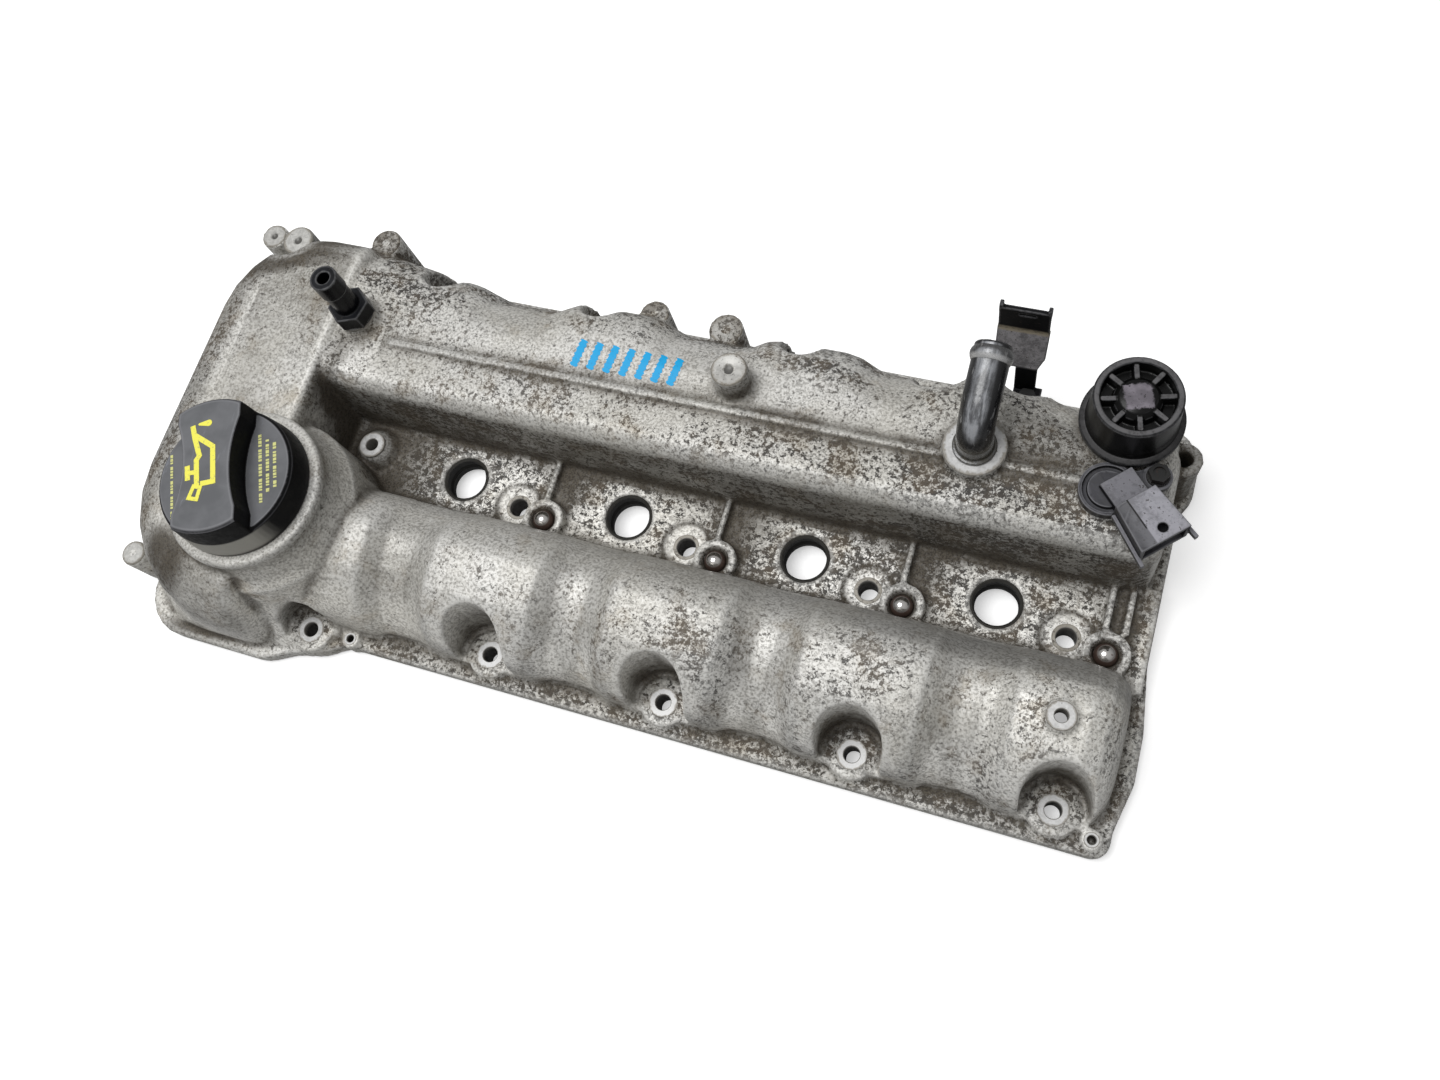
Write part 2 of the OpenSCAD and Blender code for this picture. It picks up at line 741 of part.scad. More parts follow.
module vent_valve_cap() {
    r = vent_d / 2;
    z0 = vent_seat_z + 6.4;
    top = 18.4;
    color("black") translate([vent_seat[0], vent_seat[1], z0]) {
        rotate_extrude() polygon([
            [r - 1.6, 0], [r + 1.3, 0], [r + 0.6, 3], [r, top - 0.8], [r - 0.8, top], [r - 2.3, top],
            [r - 2.8, top - 0.6], [r - 2.8, top - 6], [9.4, top - 6], [9, top - 2.5], [7, top - 0.6],
            [5, top], [0, top], [0, top - 2], [4, top - 2], [6.6, top - 3.4], [7.2, top - 7.6],
            [r - 2.2, top - 7.6]
        ]);
        for (i = [0:7]) rotate(i * 45 + 14) translate([8, -1, top - 6.4]) cube([r - 9.4, 2, 5.4]);
    }
}

module vent_valve_diaphragm() {
    r = vent_d / 2;
    color("dimgray") translate([vent_seat[0], vent_seat[1], vent_seat_z + 7]) rotate_extrude() polygon([
        [0, 0], [8.6, 0], [9.6, 1.8], [11, 1.8], [12.2, -0.6], [r - 1.9, -0.6], [r - 1.9, 0.4],
        [12.8, 0.4], [11.6, 3], [9, 3], [8, 1.2], [0, 1.2]
    ]);
}

// Wire of a coil spring, swept round a helix
module vent_valve_spring() {
    coil_r = 5.6;
    wire_r = 0.6;
    turns = 4;
    steps = 14;
    sides = 6;
    z0 = vent_seat_z + 8.2 + wire_r;
    rise = 18.4 + 6.4 - 7.6 + 4 - 8.2 - 2 * wire_r;
    n = turns * steps;
    points = [
        for (i = [0:n], j = [0:sides - 1])
            let (a = 360 * i / steps, b = 360 * j / sides, r = coil_r + wire_r * cos(b))
            [r * cos(a), r * sin(a), rise * i / n + wire_r * sin(b)]
    ];
    color("gray") translate([vent_seat[0], vent_seat[1], z0])
        polyhedron(points, loft_faces(n + 1, sides), convexity = 10);
}

module vent_valve_seal() {
    color("dimgray") translate([vent_seat[0], vent_seat[1], vent_seat_z - 5.1]) rotate_extrude()
        translate([11.1, 0]) circle(r = 0.9);
}

// Shroud of the connector of the camshaft sensor, wider at its mouth
module connector_outline(inset) {
    polygon([
        [connector_x0 + 1.5 * inset, connector_y - connector_w / 2 + inset],
        [connector_x1 + inset, connector_y - connector_w / 2 - 2 + inset],
        [connector_x1 + inset, connector_y + connector_w / 2 + 2 - inset],
        [connector_x0 + 1.5 * inset, connector_y + connector_w / 2 - inset]
    ]);
}

module cam_sensor_body() {
    r = sensor_d / 2;
    ear = sensor_screw - sensor_seat;
    color("dimgray") translate([sensor_seat[0], sensor_seat[1], sensor_seat_z]) difference() {
        union() {
            cylinder(r = r, h = 4.2);
            translate([0, 0, -20]) cylinder(r = 7.4, h = 21);
            translate([0, 0, -4.8]) cylinder(r = 8.4, h = 5.8);
            boss(ear, 5.6, 0, 3);
            rotate(atan2(ear[1], ear[0])) translate([0, -4.5, 0.2]) cube([norm(ear), 9, 2.5]);
            rotate(sensor_turn) {
                translate([-2.4, -2.3, 3]) cube([14, 14, 3.6]);
                translate([0, 0, 1.6]) linear_extrude(connector_h) connector_outline(0);
                for (side = [-1, 1]) translate([connector_x0 + 2, connector_y, 5])
                    rotate(side * connector_splay) translate([0, side * (connector_w / 2 + 0.9) - 0.8, 0])
                        cube([connector_x1 - connector_x0 + 2.5, 1.6, 2.6]);
            }
        }
        difference() {
            boss([0, 0], r - 1.4, 2.4, 5);
            boss([0, 0], r - 3.4, 2, 6);
            rotate(sensor_turn) translate([-2.4, -2.3, 2]) cube([14, 14, 4]);
        }
        rotate(sensor_turn) {
            translate([0, 0, 3.2]) linear_extrude(connector_h - 3.2) connector_outline(1.6);
            boss([connector_x1 - 4.6, connector_y + 1.4], 1.9, connector_h - 1, connector_h + 3);
        }
        boss(ear, 4.2, -eps, 6);
        translate([0, 0, -3]) rotate_extrude() translate([7.9, 0]) circle(r = 1);
    }
}

module cam_sensor_seal() {
    color("black") translate([sensor_seat[0], sensor_seat[1], sensor_seat_z - 3]) rotate_extrude()
        translate([7.7, 0]) circle(r = 0.75);
}

module cam_sensor_bush() {
    color("silver") translate([sensor_screw[0], sensor_screw[1], sensor_seat_z]) difference() {
        cylinder(r = 4.1, h = 3.1);
        translate([0, 0, -eps]) cylinder(r = 3, h = 6);
    }
}

module cam_sensor_bolt() {
    color("gray") translate([sensor_screw[0], sensor_screw[1], sensor_seat_z + 3.1]) difference() {
        union() {
            cylinder(r = 4.4, h = 1);
            cylinder(d = 8.2, h = 4.2, $fn = 6);
            translate([0, 0, -15]) cylinder(r = 2.4, h = 16);
        }
        translate([0, 0, 3.2]) cylinder(r = 2.4, h = 2);
    }
}

module cam_sensor_pins() {
    color("gold") translate([sensor_seat[0], sensor_seat[1], sensor_seat_z]) rotate(sensor_turn)
        for (v = [-4, 0, 4]) translate([connector_x0 + 2.4, connector_y + v - 0.4, 6.4]) cube([9, 0.8, 2]);
}

// Sheet of the bracket, from its foot up: riser, leaning plate and upright tab
module harness_bracket() {
    x = bracket_seat[0];
    y = bracket_seat[1];
    t = bracket_t;
    plate_w = 21.2;
    color("black") difference() {
        union() {
            translate([x - 6.5, y - 5.7, bracket_seat_z]) cube([12, 5.7 + bracket_leg + t, t]);
            translate([x - 6.5, y + bracket_leg, bracket_seat_z]) cube([9, t, plate_z - bracket_seat_z + 1]);
            translate([x, y + bracket_leg, plate_z]) rotate([90 - plate_lean, 0, 0]) translate([0, 0, -t])
                linear_extrude(t) polygon([
                    [-12, 0], [2.5, 0], [5, 7], [5.2, plate_h + 0.6], [5.2 - plate_w, plate_h + 0.6],
                    [5.2 - plate_w, 7]
                ]);
            translate([x + 5.5 - plate_w, tab_y, tab_z - 0.8]) cube([plate_w - 0.6, t, tab_h]);
            for (side = [0, plate_w - 2]) translate([x + 5.4 - plate_w + side, tab_y + 0.3, tab_z + tab_h - 4])
                cube([1.6, t + 0.9, 4.5]);
        }
        boss(bracket_seat, 3, bracket_seat_z - 1, bracket_seat_z + t + 1);
        translate([x - 7.5, tab_y - 2, tab_z + tab_h - 4.5]) cube([6.5, 8, 1.4]);
    }
}

module bracket_bolt() {
    color("gray") translate([bracket_seat[0], bracket_seat[1], bracket_seat_z + bracket_t]) {
        cylinder(r = 4.8, h = 1);
        cylinder(d = 8.9, h = 4.2, $fn = 6);
        translate([0, 0, -14]) cylinder(r = 2.4, h = 15);
    }
}

casting_timing_end();
casting_neck();
casting_front();
casting_valley();
casting_rear_left();
casting_rear_right();
cover_gasket();
oil_baffle();
baffle_screws();
injector_seal(0);  // injector_seal_1
injector_seal(1);  // injector_seal_2
injector_seal(2);  // injector_seal_3
injector_seal(3);  // injector_seal_4
ball_plug(0);  // ball_plug_1
ball_plug(1);  // ball_plug_2
ball_plug(2);  // ball_plug_3
ball_plug(3);  // ball_plug_4
filler_cap();
filler_cap_seal();
breather_pipe();
hose_nipple();
nipple_washer();
vent_valve_body();
vent_valve_cap();
vent_valve_diaphragm();
vent_valve_spring();
vent_valve_seal();
cam_sensor_body();
cam_sensor_seal();
cam_sensor_bush();
cam_sensor_bolt();
cam_sensor_pins();
harness_bracket();
bracket_bolt();
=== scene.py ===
import math

import bmesh
import bpy
import numpy as np
from mathutils import Matrix, Vector
from mathutils.bvhtree import BVHTree
from mathutils.kdtree import KDTree


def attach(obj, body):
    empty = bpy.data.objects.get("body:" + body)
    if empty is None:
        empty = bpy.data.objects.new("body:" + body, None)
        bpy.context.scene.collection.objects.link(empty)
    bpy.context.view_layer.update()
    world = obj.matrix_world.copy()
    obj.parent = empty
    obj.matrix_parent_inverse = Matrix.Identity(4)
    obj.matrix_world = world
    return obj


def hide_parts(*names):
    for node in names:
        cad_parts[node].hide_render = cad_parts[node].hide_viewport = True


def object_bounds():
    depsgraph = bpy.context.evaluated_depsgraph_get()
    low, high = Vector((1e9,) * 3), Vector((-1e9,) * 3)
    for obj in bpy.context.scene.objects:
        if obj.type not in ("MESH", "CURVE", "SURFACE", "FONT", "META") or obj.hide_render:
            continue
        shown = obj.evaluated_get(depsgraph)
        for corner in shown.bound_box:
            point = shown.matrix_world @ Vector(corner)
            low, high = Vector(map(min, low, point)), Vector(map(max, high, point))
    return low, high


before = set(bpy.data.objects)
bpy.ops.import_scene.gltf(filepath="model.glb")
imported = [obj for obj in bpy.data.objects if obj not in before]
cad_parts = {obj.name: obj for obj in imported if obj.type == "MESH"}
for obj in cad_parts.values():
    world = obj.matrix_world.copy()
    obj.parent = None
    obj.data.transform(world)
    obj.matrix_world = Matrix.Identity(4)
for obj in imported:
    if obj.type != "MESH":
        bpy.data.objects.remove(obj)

cad_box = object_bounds()

MM = 0.001
RELAX_IN, RELAX_OUT = 0.5, -0.42
RIM_STEPS = 56
RIM_SHARP = math.radians(35)


# ------------------------------------------------------------------ camera

# fitted to the photograph: where it stands, and its axes to the right, down and ahead
CAMERA_AT = (0.14558, -0.14360, 0.50980)
CAMERA_RIGHT = (0.9383059, 0.2912624, -0.1864086)
CAMERA_DOWN = (0.2199937, -0.9186793, -0.3280718)
CAMERA_FORWARD = (-0.2668047, 0.2668230, -0.9260781)
PHOTO_CENTRE = (720, 540)
PHOTO_FOCUS = 1200


def add_camera():
    data = bpy.data.cameras.new("camera")
    data.sensor_fit = "HORIZONTAL"
    data.sensor_width = 36
    data.lens = 30
    data.clip_start = 0.01
    camera = bpy.data.objects.new("camera", data)
    columns = (CAMERA_RIGHT, [-v for v in CAMERA_DOWN], [-v for v in CAMERA_FORWARD])
    turn = Matrix([[columns[c][r] for c in range(3)] for r in range(3)])
    camera.matrix_world = Matrix.Translation(CAMERA_AT) @ turn.to_4x4()
    bpy.context.scene.collection.objects.link(camera)
    bpy.context.scene.camera = camera


# ------------------------------------------------------------------ light and floor

FLOOR_REACH = 6.0
FLOOR_DROP = 0.0004


def add_lamp(name, at, aim, size, watts):
    data = bpy.data.lights.new(name, "AREA")
    data.shape = "DISK"
    data.size = size
    data.energy = watts
    lamp = bpy.data.objects.new(name, data)
    lamp.location = at
    lamp.rotation_euler = (Vector(at) - Vector(aim)).to_track_quat("Z", "Y").to_euler()
    bpy.context.scene.collection.objects.link(lamp)


def add_world(level):
    """A sky that grows brighter upwards, and plain white where the camera sees it."""
    world = bpy.data.worlds.new("studio")
    bpy.context.scene.world = world
    world.use_nodes = True
    nodes, links = world.node_tree.nodes, world.node_tree.links
    nodes.clear()
    out = nodes.new("ShaderNodeOutputWorld")
    path = nodes.new("ShaderNodeLightPath")
    coordinates = nodes.new("ShaderNodeTexCoord")
    separate = nodes.new("ShaderNodeSeparateXYZ")
    links.new(coordinates.outputs["Generated"], separate.inputs[0])
    sky = nodes.new("ShaderNodeMapRange")
    sky.inputs["From Min"].default_value = -0.1
    sky.inputs["From Max"].default_value = 0.9
    sky.inputs["To Min"].default_value = 0.25 * level
    sky.inputs["To Max"].default_value = 1.25 * level
    links.new(separate.outputs["Z"], sky.inputs["Value"])
    ambient = nodes.new("ShaderNodeBackground")
    links.new(sky.outputs[0], ambient.inputs["Strength"])
    seen = nodes.new("ShaderNodeBackground")
    seen.inputs["Strength"].default_value = 1.0
    mix = nodes.new("ShaderNodeMixShader")
    links.new(path.outputs["Is Camera Ray"], mix.inputs[0])
    links.new(ambient.outputs[0], mix.inputs[1])
    links.new(seen.outputs[0], mix.inputs[2])
    links.new(mix.outputs[0], out.inputs[0])


def add_floor():
    """A floor that looks white to the camera and lights the object as a grey one does."""
    mesh = bpy.data.meshes.new("floor")
    r = FLOOR_REACH
    z = cad_box[0][2] - FLOOR_DROP
    mesh.from_pydata([(-r, -r, z), (r, -r, z), (r, r, z), (-r, r, z)], [], [(0, 1, 2, 3)])
    floor = bpy.data.objects.new("floor", mesh)
    bpy.context.scene.collection.objects.link(floor)
    material = bpy.data.materials.new("floor_white")
    material.use_nodes = True
    nodes, links = material.node_tree.nodes, material.node_tree.links
    nodes.clear()
    out = nodes.new("ShaderNodeOutputMaterial")
    dull = nodes.new("ShaderNodeBsdfDiffuse")
    dull.inputs["Color"].default_value = (0.42, 0.42, 0.42, 1)
    pale = nodes.new("ShaderNodeBsdfDiffuse")
    pale.inputs["Color"].default_value = (0.86, 0.86, 0.86, 1)
    glow = nodes.new("ShaderNodeEmission")
    glow.inputs["Strength"].default_value = 0.42
    add = nodes.new("ShaderNodeAddShader")
    links.new(pale.outputs[0], add.inputs[0])
    links.new(glow.outputs[0], add.inputs[1])
    path = nodes.new("ShaderNodeLightPath")
    seen = nodes.new("ShaderNodeMath")
    seen.operation = "MAXIMUM"
    links.new(path.outputs["Is Camera Ray"], seen.inputs[0])
    links.new(path.outputs["Is Transmission Ray"], seen.inputs[1])
    mix = nodes.new("ShaderNodeMixShader")
    links.new(seen.outputs[0], mix.inputs[0])
    links.new(dull.outputs[0], mix.inputs[1])
    links.new(add.outputs[0], mix.inputs[2])
    links.new(mix.outputs[0], out.inputs[0])
    mesh.materials.append(material)


# ------------------------------------------------------------------ node helper

class Shader:
    """Short calls for building one node material."""

    def __init__(self, name):
        self.material = bpy.data.materials.new(name)
        self.material.use_nodes = True
        self.nodes = self.material.node_tree.nodes
        self.links = self.material.node_tree.links
        self.nodes.clear()
        self.out = self.nodes.new("ShaderNodeOutputMaterial")
        self.bsdf = self.nodes.new("ShaderNodeBsdfPrincipled")
        self.links.new(self.bsdf.outputs[0], self.out.inputs[0])
        self.place = self.nodes.new("ShaderNodeTexCoord").outputs["Object"]
        self.normal = self.nodes.new("ShaderNodeNewGeometry").outputs["Normal"]

    def put(self, value, socket):
        if isinstance(value, bpy.types.NodeSocket):
            self.links.new(value, socket)
        elif isinstance(value, (tuple, list)) and len(value) == 3 and socket.type == "RGBA":
            socket.default_value = (*value, 1)
        else:
            socket.default_value = value

    def noise(self, scale, detail=2.0, rough=0.5, stretch=None):
        n = self.nodes.new("ShaderNodeTexNoise")
        n.inputs["Scale"].default_value = scale
        n.inputs["Detail"].default_value = detail
        n.inputs["Roughness"].default_value = rough
        source = self.place
        if stretch:
            mapping = self.nodes.new("ShaderNodeMapping")
            mapping.inputs["Scale"].default_value = stretch
            self.links.new(source, mapping.inputs[0])
            source = mapping.outputs[0]
        self.links.new(source, n.inputs["Vector"])
        return n.outputs["Fac"]

    def ramp(self, value, low, high, to_low=0.0, to_high=1.0, smooth=True):
        n = self.nodes.new("ShaderNodeMapRange")
        n.interpolation_type = "SMOOTHSTEP" if smooth else "LINEAR"
        self.put(value, n.inputs["Value"])
        self.put(low, n.inputs["From Min"])
        self.put(high, n.inputs["From Max"])
        self.put(to_low, n.inputs["To Min"])
        self.put(to_high, n.inputs["To Max"])
        return n.outputs[0]

    def math(self, how, a, b=0.0):
        n = self.nodes.new("ShaderNodeMath")
        n.operation = how
        self.put(a, n.inputs[0])
        self.put(b, n.inputs[1])
        return n.outputs[0]

    def times(self, a, b):
        return self.math("MULTIPLY", a, b)

    def plus(self, a, b):
        return self.math("ADD", a, b)

    def minus(self, a, b):
        return self.math("SUBTRACT", a, b)

    def mix(self, factor, a, b):
        n = self.nodes.new("ShaderNodeMix")
        n.data_type = "RGBA"
        self.put(factor, n.inputs[0])
        self.put(a, n.inputs[6])
        self.put(b, n.inputs[7])
        return n.outputs[2]

    def facing(self, direction):
        """How far the surface faces a direction of the object."""
        n = self.nodes.new("ShaderNodeVectorMath")
        n.operation = "DOT_PRODUCT"
        self.put(self.normal, n.inputs[0])
        n.inputs[1].default_value = direction
        return n.outputs["Value"]

    def split(self, vector):
        n = self.nodes.new("ShaderNodeSeparateXYZ")
        self.links.new(vector, n.inputs[0])
        return n.outputs

    def attribute(self, name):
        n = self.nodes.new("ShaderNodeAttribute")
        n.attribute_name = name
        return n.outputs["Fac"]

    def bump(self, height, strength, distance, under=None):
        n = self.nodes.new("ShaderNodeBump")
        n.inputs["Strength"].default_value = strength
        n.inputs["Distance"].default_value = distance
        self.links.new(height, n.inputs["Height"])
        if under is not None:
            self.links.new(under, n.inputs["Normal"])
        return n.outputs[0]

    def set(self, **values):
        names = {"colour": "Base Color", "metal": "Metallic", "rough": "Roughness", "normal": "Normal",
                 "specular": "Specular IOR Level"}
        for key, value in values.items():
            self.put(value, self.bsdf.inputs[names[key]])
        return self.material


# ------------------------------------------------------------------ cast aluminium

def cast_material(name):
    """Pale cast skin under dark speckles of oxide and oil, with painted shade in its hollows and on its
    steep walls.

    The attributes speck, film, tone, cavity and crest of the mesh say where each lies; the film and the tone
    also hold painted shade and painted light.
    """
    s = Shader(name)
    nz = s.split(s.normal)[2]
    speck, film_and_shade, tone, cavity, crest = (s.attribute(n) for n in ("speck", "film_and_shade", "tone", "cavity", "crest"))
    cloud = s.noise(20, 3, 0.6)
    patch = s.noise(62, 4, 0.62)
    grain = s.noise(820, 2, 0.6)
    dots = s.noise(470, 4, 0.74)
    fine = s.noise(1200, 2, 0.6)
    streak = s.noise(150, 4, 0.7, stretch=(0.30, 1, 1))

    bare = s.mix(s.ramp(cloud, 0.35, 0.65), (0.555, 0.540, 0.495), (0.665, 0.655, 0.625))
    bare = s.mix(s.ramp(grain, 0.38, 0.53, 0.56, 0.0), bare, (0.185, 0.175, 0.158))
    bare = s.mix(s.ramp(grain, 0.52, 0.70, 0.0, 0.45), bare, (0.83, 0.825, 0.80))
    tan = s.ramp(s.plus(patch, s.times(speck, 0.08)), 0.56, 0.76, 0, 0.42)
    bare = s.mix(tan, bare, (0.335, 0.275, 0.190))
    # the tone scales the bare colour; on some slopes and walls it is painted light and painted shade
    shade = s.nodes.new("ShaderNodeVectorMath")
    shade.operation = "SCALE"
    s.put(bare, shade.inputs[0])
    s.put(tone, shade.inputs["Scale"])
    bare = shade.outputs[0]

    # speckles, thicker where the attribute says and in drifts
    drift = s.plus(s.times(cloud, 0.8), s.times(patch, 1.0))
    drift = s.minus(drift, 0.9)
    amount = s.plus(speck, s.times(drift, s.ramp(speck, 0.0, 0.6, 0.5, 1.6)))
    amount = s.math("MINIMUM", amount, 1.02)
    edge = s.minus(0.660, s.times(amount, 0.185))
    spots = s.ramp(dots, edge, s.plus(edge, 0.030))
    small = s.ramp(fine, s.plus(edge, 0.05), s.plus(edge, 0.10), 0, 0.75)
    spots = s.times(s.math("MAXIMUM", spots, small), s.ramp(speck, 0.25, 0.85, 0.62, 0.92))
    stain = s.mix(s.ramp(patch, 0.44, 0.62), (0.024, 0.021, 0.018), (0.072, 0.053, 0.034))
    colour = s.mix(spots, bare, stain)

    # old oil and painted shade in fillets, painted shade on steep walls, and the film attribute, which is
    # oil and in some regions painted shade
    steep = s.ramp(nz, 0.55, 0.10)
    dirt_and_shade = s.plus(s.times(s.ramp(cavity, 0.12, 0.90), 0.58), s.times(steep, 0.12))
    dirt_and_shade = s.times(dirt_and_shade, s.ramp(patch, 0.30, 0.62, 0.45, 1.15))
    worn = s.ramp(s.plus(streak, s.times(film_and_shade, 0.42)), 0.52, 0.72)
    dirt_and_shade = s.plus(dirt_and_shade, s.times(film_and_shade, s.plus(s.times(worn, 0.65), 0.35)))
    dirt_and_shade = s.math("MINIMUM", dirt_and_shade, 0.93)
    # the colour of old oil, which is also the colour of the painted shade
    oil_and_shade = s.mix(s.ramp(fine, 0.35, 0.65), (0.045, 0.037, 0.028), (0.105, 0.090, 0.068))
    colour = s.mix(dirt_and_shade, colour, oil_and_shade)

    # worn crests
    rubbed = s.times(s.ramp(crest, 0.25, 0.8), s.ramp(grain, 0.35, 0.6, 0.15, 0.5))
    colour = s.mix(rubbed, colour, (0.64, 0.635, 0.61))

    rough = s.ramp(spots, 0, 1, 0.48, 0.74)
    height = s.plus(s.times(grain, 0.6), s.times(fine, 0.4))
    height = s.minus(height, s.times(spots, 0.30))
    normal = s.bump(height, 0.60, 0.00035)
    normal = s.bump(s.noise(95, 3, 0.5), 0.25, 0.0012, normal)
    return s.set(colour=colour, metal=0.25, rough=rough, normal=normal)


# ------------------------------------------------------------------ meshes from the frame

def new_object(name, mesh):
    obj = bpy.data.objects.new(name, mesh)
    bpy.context.scene.collection.objects.link(obj)
    return obj


def added(name, mesh, material, body="cover"):
    """A detail that stands for no solid."""
    mesh.materials.append(material)
    obj = new_object(name, mesh)
    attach(obj, body)


def applied(obj):
    """Replaces the mesh by what its modifiers make of it."""
    bpy.context.view_layer.update()
    graph = bpy.context.evaluated_depsgraph_get()
    mesh = bpy.data.meshes.new_from_object(obj.evaluated_get(graph))
    obj.modifiers.clear()
    obj.data = mesh
    return obj


def points_of(mesh):
    co = np.empty(len(mesh.vertices) * 3)
    mesh.vertices.foreach_get("co", co)
    return co.reshape(-1, 3)


def put_points(mesh, co):
    mesh.vertices.foreach_set("co", co.reshape(-1).astype(np.float32))
    mesh.update()


class Relaxer:
    """Averages values over the neighbours of each vertex."""

    def __init__(self, mesh):
        e = np.empty(len(mesh.edges) * 2, np.int64)
        mesh.edges.foreach_get("vertices", e)
        e = e.reshape(-1, 2)
        self.n = len(mesh.vertices)
        self.a = np.concatenate([e[:, 0], e[:, 1]])
        self.b = np.concatenate([e[:, 1], e[:, 0]])
        self.count = np.maximum(np.bincount(self.a, minlength=self.n), 1)

    def mean(self, v):
        if v.ndim == 1:
            return np.bincount(self.a, v[self.b], self.n) / self.count
        return np.stack([self.mean(v[:, k]) for k in range(v.shape[1])], 1)


def normals_of(mesh):
    n = np.empty(len(mesh.vertices) * 3, np.float32)
    mesh.vertex_normals.foreach_get("vector", n)
    return n.reshape(-1, 3).astype(float)


def shade_smooth(mesh):
    mesh.polygons.foreach_set("use_smooth", [True] * len(mesh.polygons))


def finished(bm, name, smooth=True, sharp=None):
    """The mesh of a bmesh, its faces turned outwards, with edges sharper than an angle kept crisp."""
    bmesh.ops.recalc_face_normals(bm, faces=bm.faces)
    mesh = bpy.data.meshes.new(name)
    bm.to_mesh(mesh)
    bm.free()
    if smooth:
        shade_smooth(mesh)
    if sharp:
        mesh.set_sharp_from_angle(angle=sharp)
    return mesh


def circle(bm, x, y, z, r, marks):
    """A level circle of vertices, or a single one where r is 0; marks are layers and their values there."""
    loop = []
    for i in range(RIM_STEPS if r else 1):
        a = 2 * math.pi * i / RIM_STEPS
        v = bm.verts.new(((x + r * math.cos(a)) * MM, (y + r * math.sin(a)) * MM, z * MM))
        for layer, value in marks:
            v[layer] = value
        loop.append(v)
    return loop


def bridge(bm, p, q):
    """Faces between two circles of vertices, either of which may be a single one."""
    count = max(len(p), len(q))
    for i in range(count):
        j = (i + 1) % count
        if len(p) == 1:
            bm.faces.new((p[0], q[i], q[j]))
        elif len(q) == 1:
            bm.faces.new((p[i], q[0], p[j]))
        else:
            bm.faces.new((p[i], q[i], q[j], p[j]))


def decimated(obj, triangles):
    obj.data.calc_loop_triangles()
    share = triangles / len(obj.data.loop_triangles)
    if share < 1:
        m = obj.modifiers.new("fewer", "DECIMATE")
        m.ratio = share
        applied(obj)
        shade_smooth(obj.data)
    return obj


def remeshed(source, name, voxel, rounds):
    """A copy of a mesh on an even grid of small faces, its sharp edges relaxed into cast or moulded ones.

    Each round in is followed by a smaller one out, so that the form keeps its size.
    """
    obj = new_object(name, source.copy())
    obj.data.materials.clear()
    m = obj.modifiers.new("grid", "REMESH")
    m.mode = "VOXEL"
    m.voxel_size = voxel
    applied(obj)
    co = points_of(obj.data)
    relax = Relaxer(obj.data)
    for i in range(rounds):
        co = co + (relax.mean(co) - co) * (RELAX_OUT if i % 2 else RELAX_IN)
    put_points(obj.data, co)
    shade_smooth(obj.data)
    return obj


def stands_for(obj, nodes, body="cover"):
    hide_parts(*nodes)
    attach(obj, body)
    return obj


def store(mesh, name, values):
    a = mesh.attributes.new(name, "FLOAT", "POINT")
    a.data.foreach_set("value", np.asarray(values, np.float32))


def carried(obj, kept, triangles):
    """Cuts the mesh down to a number of triangles and carries values of its vertices over."""
    co = points_of(obj.data)
    tree = KDTree(len(co))
    for i, p in enumerate(co):
        tree.insert(p, i)
    tree.balance()
    decimated(obj, triangles)
    nearest = np.array([tree.find(p)[1] for p in points_of(obj.data)])
    for name, values in kept.items():
        store(obj.data, name, values[nearest])


def moulded(node, voxel, rounds, triangles, material, body="cover"):
    """A relaxed skin for a moulded or steel node; its edges and corners lead the wear in the material."""
    obj = remeshed(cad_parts[node].data, node + "_surface", voxel * MM, rounds)
    relax = Relaxer(obj.data)
    co = points_of(obj.data)
    near = co
    for _ in range(6):
        near = relax.mean(near)
    dip = ((near - co) * normals_of(obj.data)).sum(1) / (0.30 * voxel * MM)
    edges = {"crest": relax.mean(np.clip(-dip, 0, 1)), "cavity": relax.mean(np.clip(dip, 0, 1))}
    carried(obj, edges, triangles)
    obj.data.materials.append(material)
    return stands_for(obj, [node], body)


# ------------------------------------------------------------------ the casting

CASTING = tuple(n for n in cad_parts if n.startswith("casting_"))

# All places are in millimetres. First the axis and place of each flat face on which two zones meet.
CUTS = ((0, -147), (1, -24), (1, 24), (0, 62), (0, -238.5), (1, -86.5), (1, -0.5), (2, 52.5))
CUT_ROOM = 2e-6
FRONT_BOLTS = ((-174, -88), (-84, -77), (0, -77), (84, -77), (166, -77))
REAR_BOLTS = ((-157, 86), (-76, 86), (20, 86), (82, 86), (160, 86))
BORES = (-126, -42, 42, 126)
VALLEY_BOLT = (30.4, -7.3)
PLUG_POST = (46.6, -11.9)
FILLER = (-194.5, -43.6)
SEAT_Z = 12.6

COVER_VOXEL = 1.05
COVER_ROUNDS = 8
COVER_TRIANGLES = 190000
NEAR_ROUNDS, FAR_ROUNDS = 10, 70
RING_PROUD = 0.06
HOLE_ROOM = 0.45

# the swellings of the front cover: centre, half width, speckle and tone
PLATEAUS = ((-84, 26, 0.42, 0.90), (0, 28.5, 0.62, 0.90), (84, 27, 0.60, 0.90), (158, 25, 0.60, 1.10))
# floors of the dips between the swellings, painted paler: painted light
PALE_STRIPS = (-42, 42, 125)

# place, top, hole radius, outer radius and depth of the crisp ring that lines each machined hole
DULL_RINGS = [(x + VALLEY_BOLT[0], VALLEY_BOLT[1], 12.8, 4.3, 6.2, 12.8) for x in BORES]
RINGS = (
    [(x, y, SEAT_Z, 3.4, 6.5, SEAT_Z) for x, y in FRONT_BOLTS + REAR_BOLTS]
    + [(-176, 4, 21, 3.0, 6.5, 21)]
    + [(160, -48, 54, 2.6, 5.8, 8)]
    + [(105, 47.8, 61, 7.5, 12.8, 4)]
    + [(-154, -87, 11, 1.7, 3.2, 11), (182.5, -84, 11, 1.7, 3.2, 7)]
)

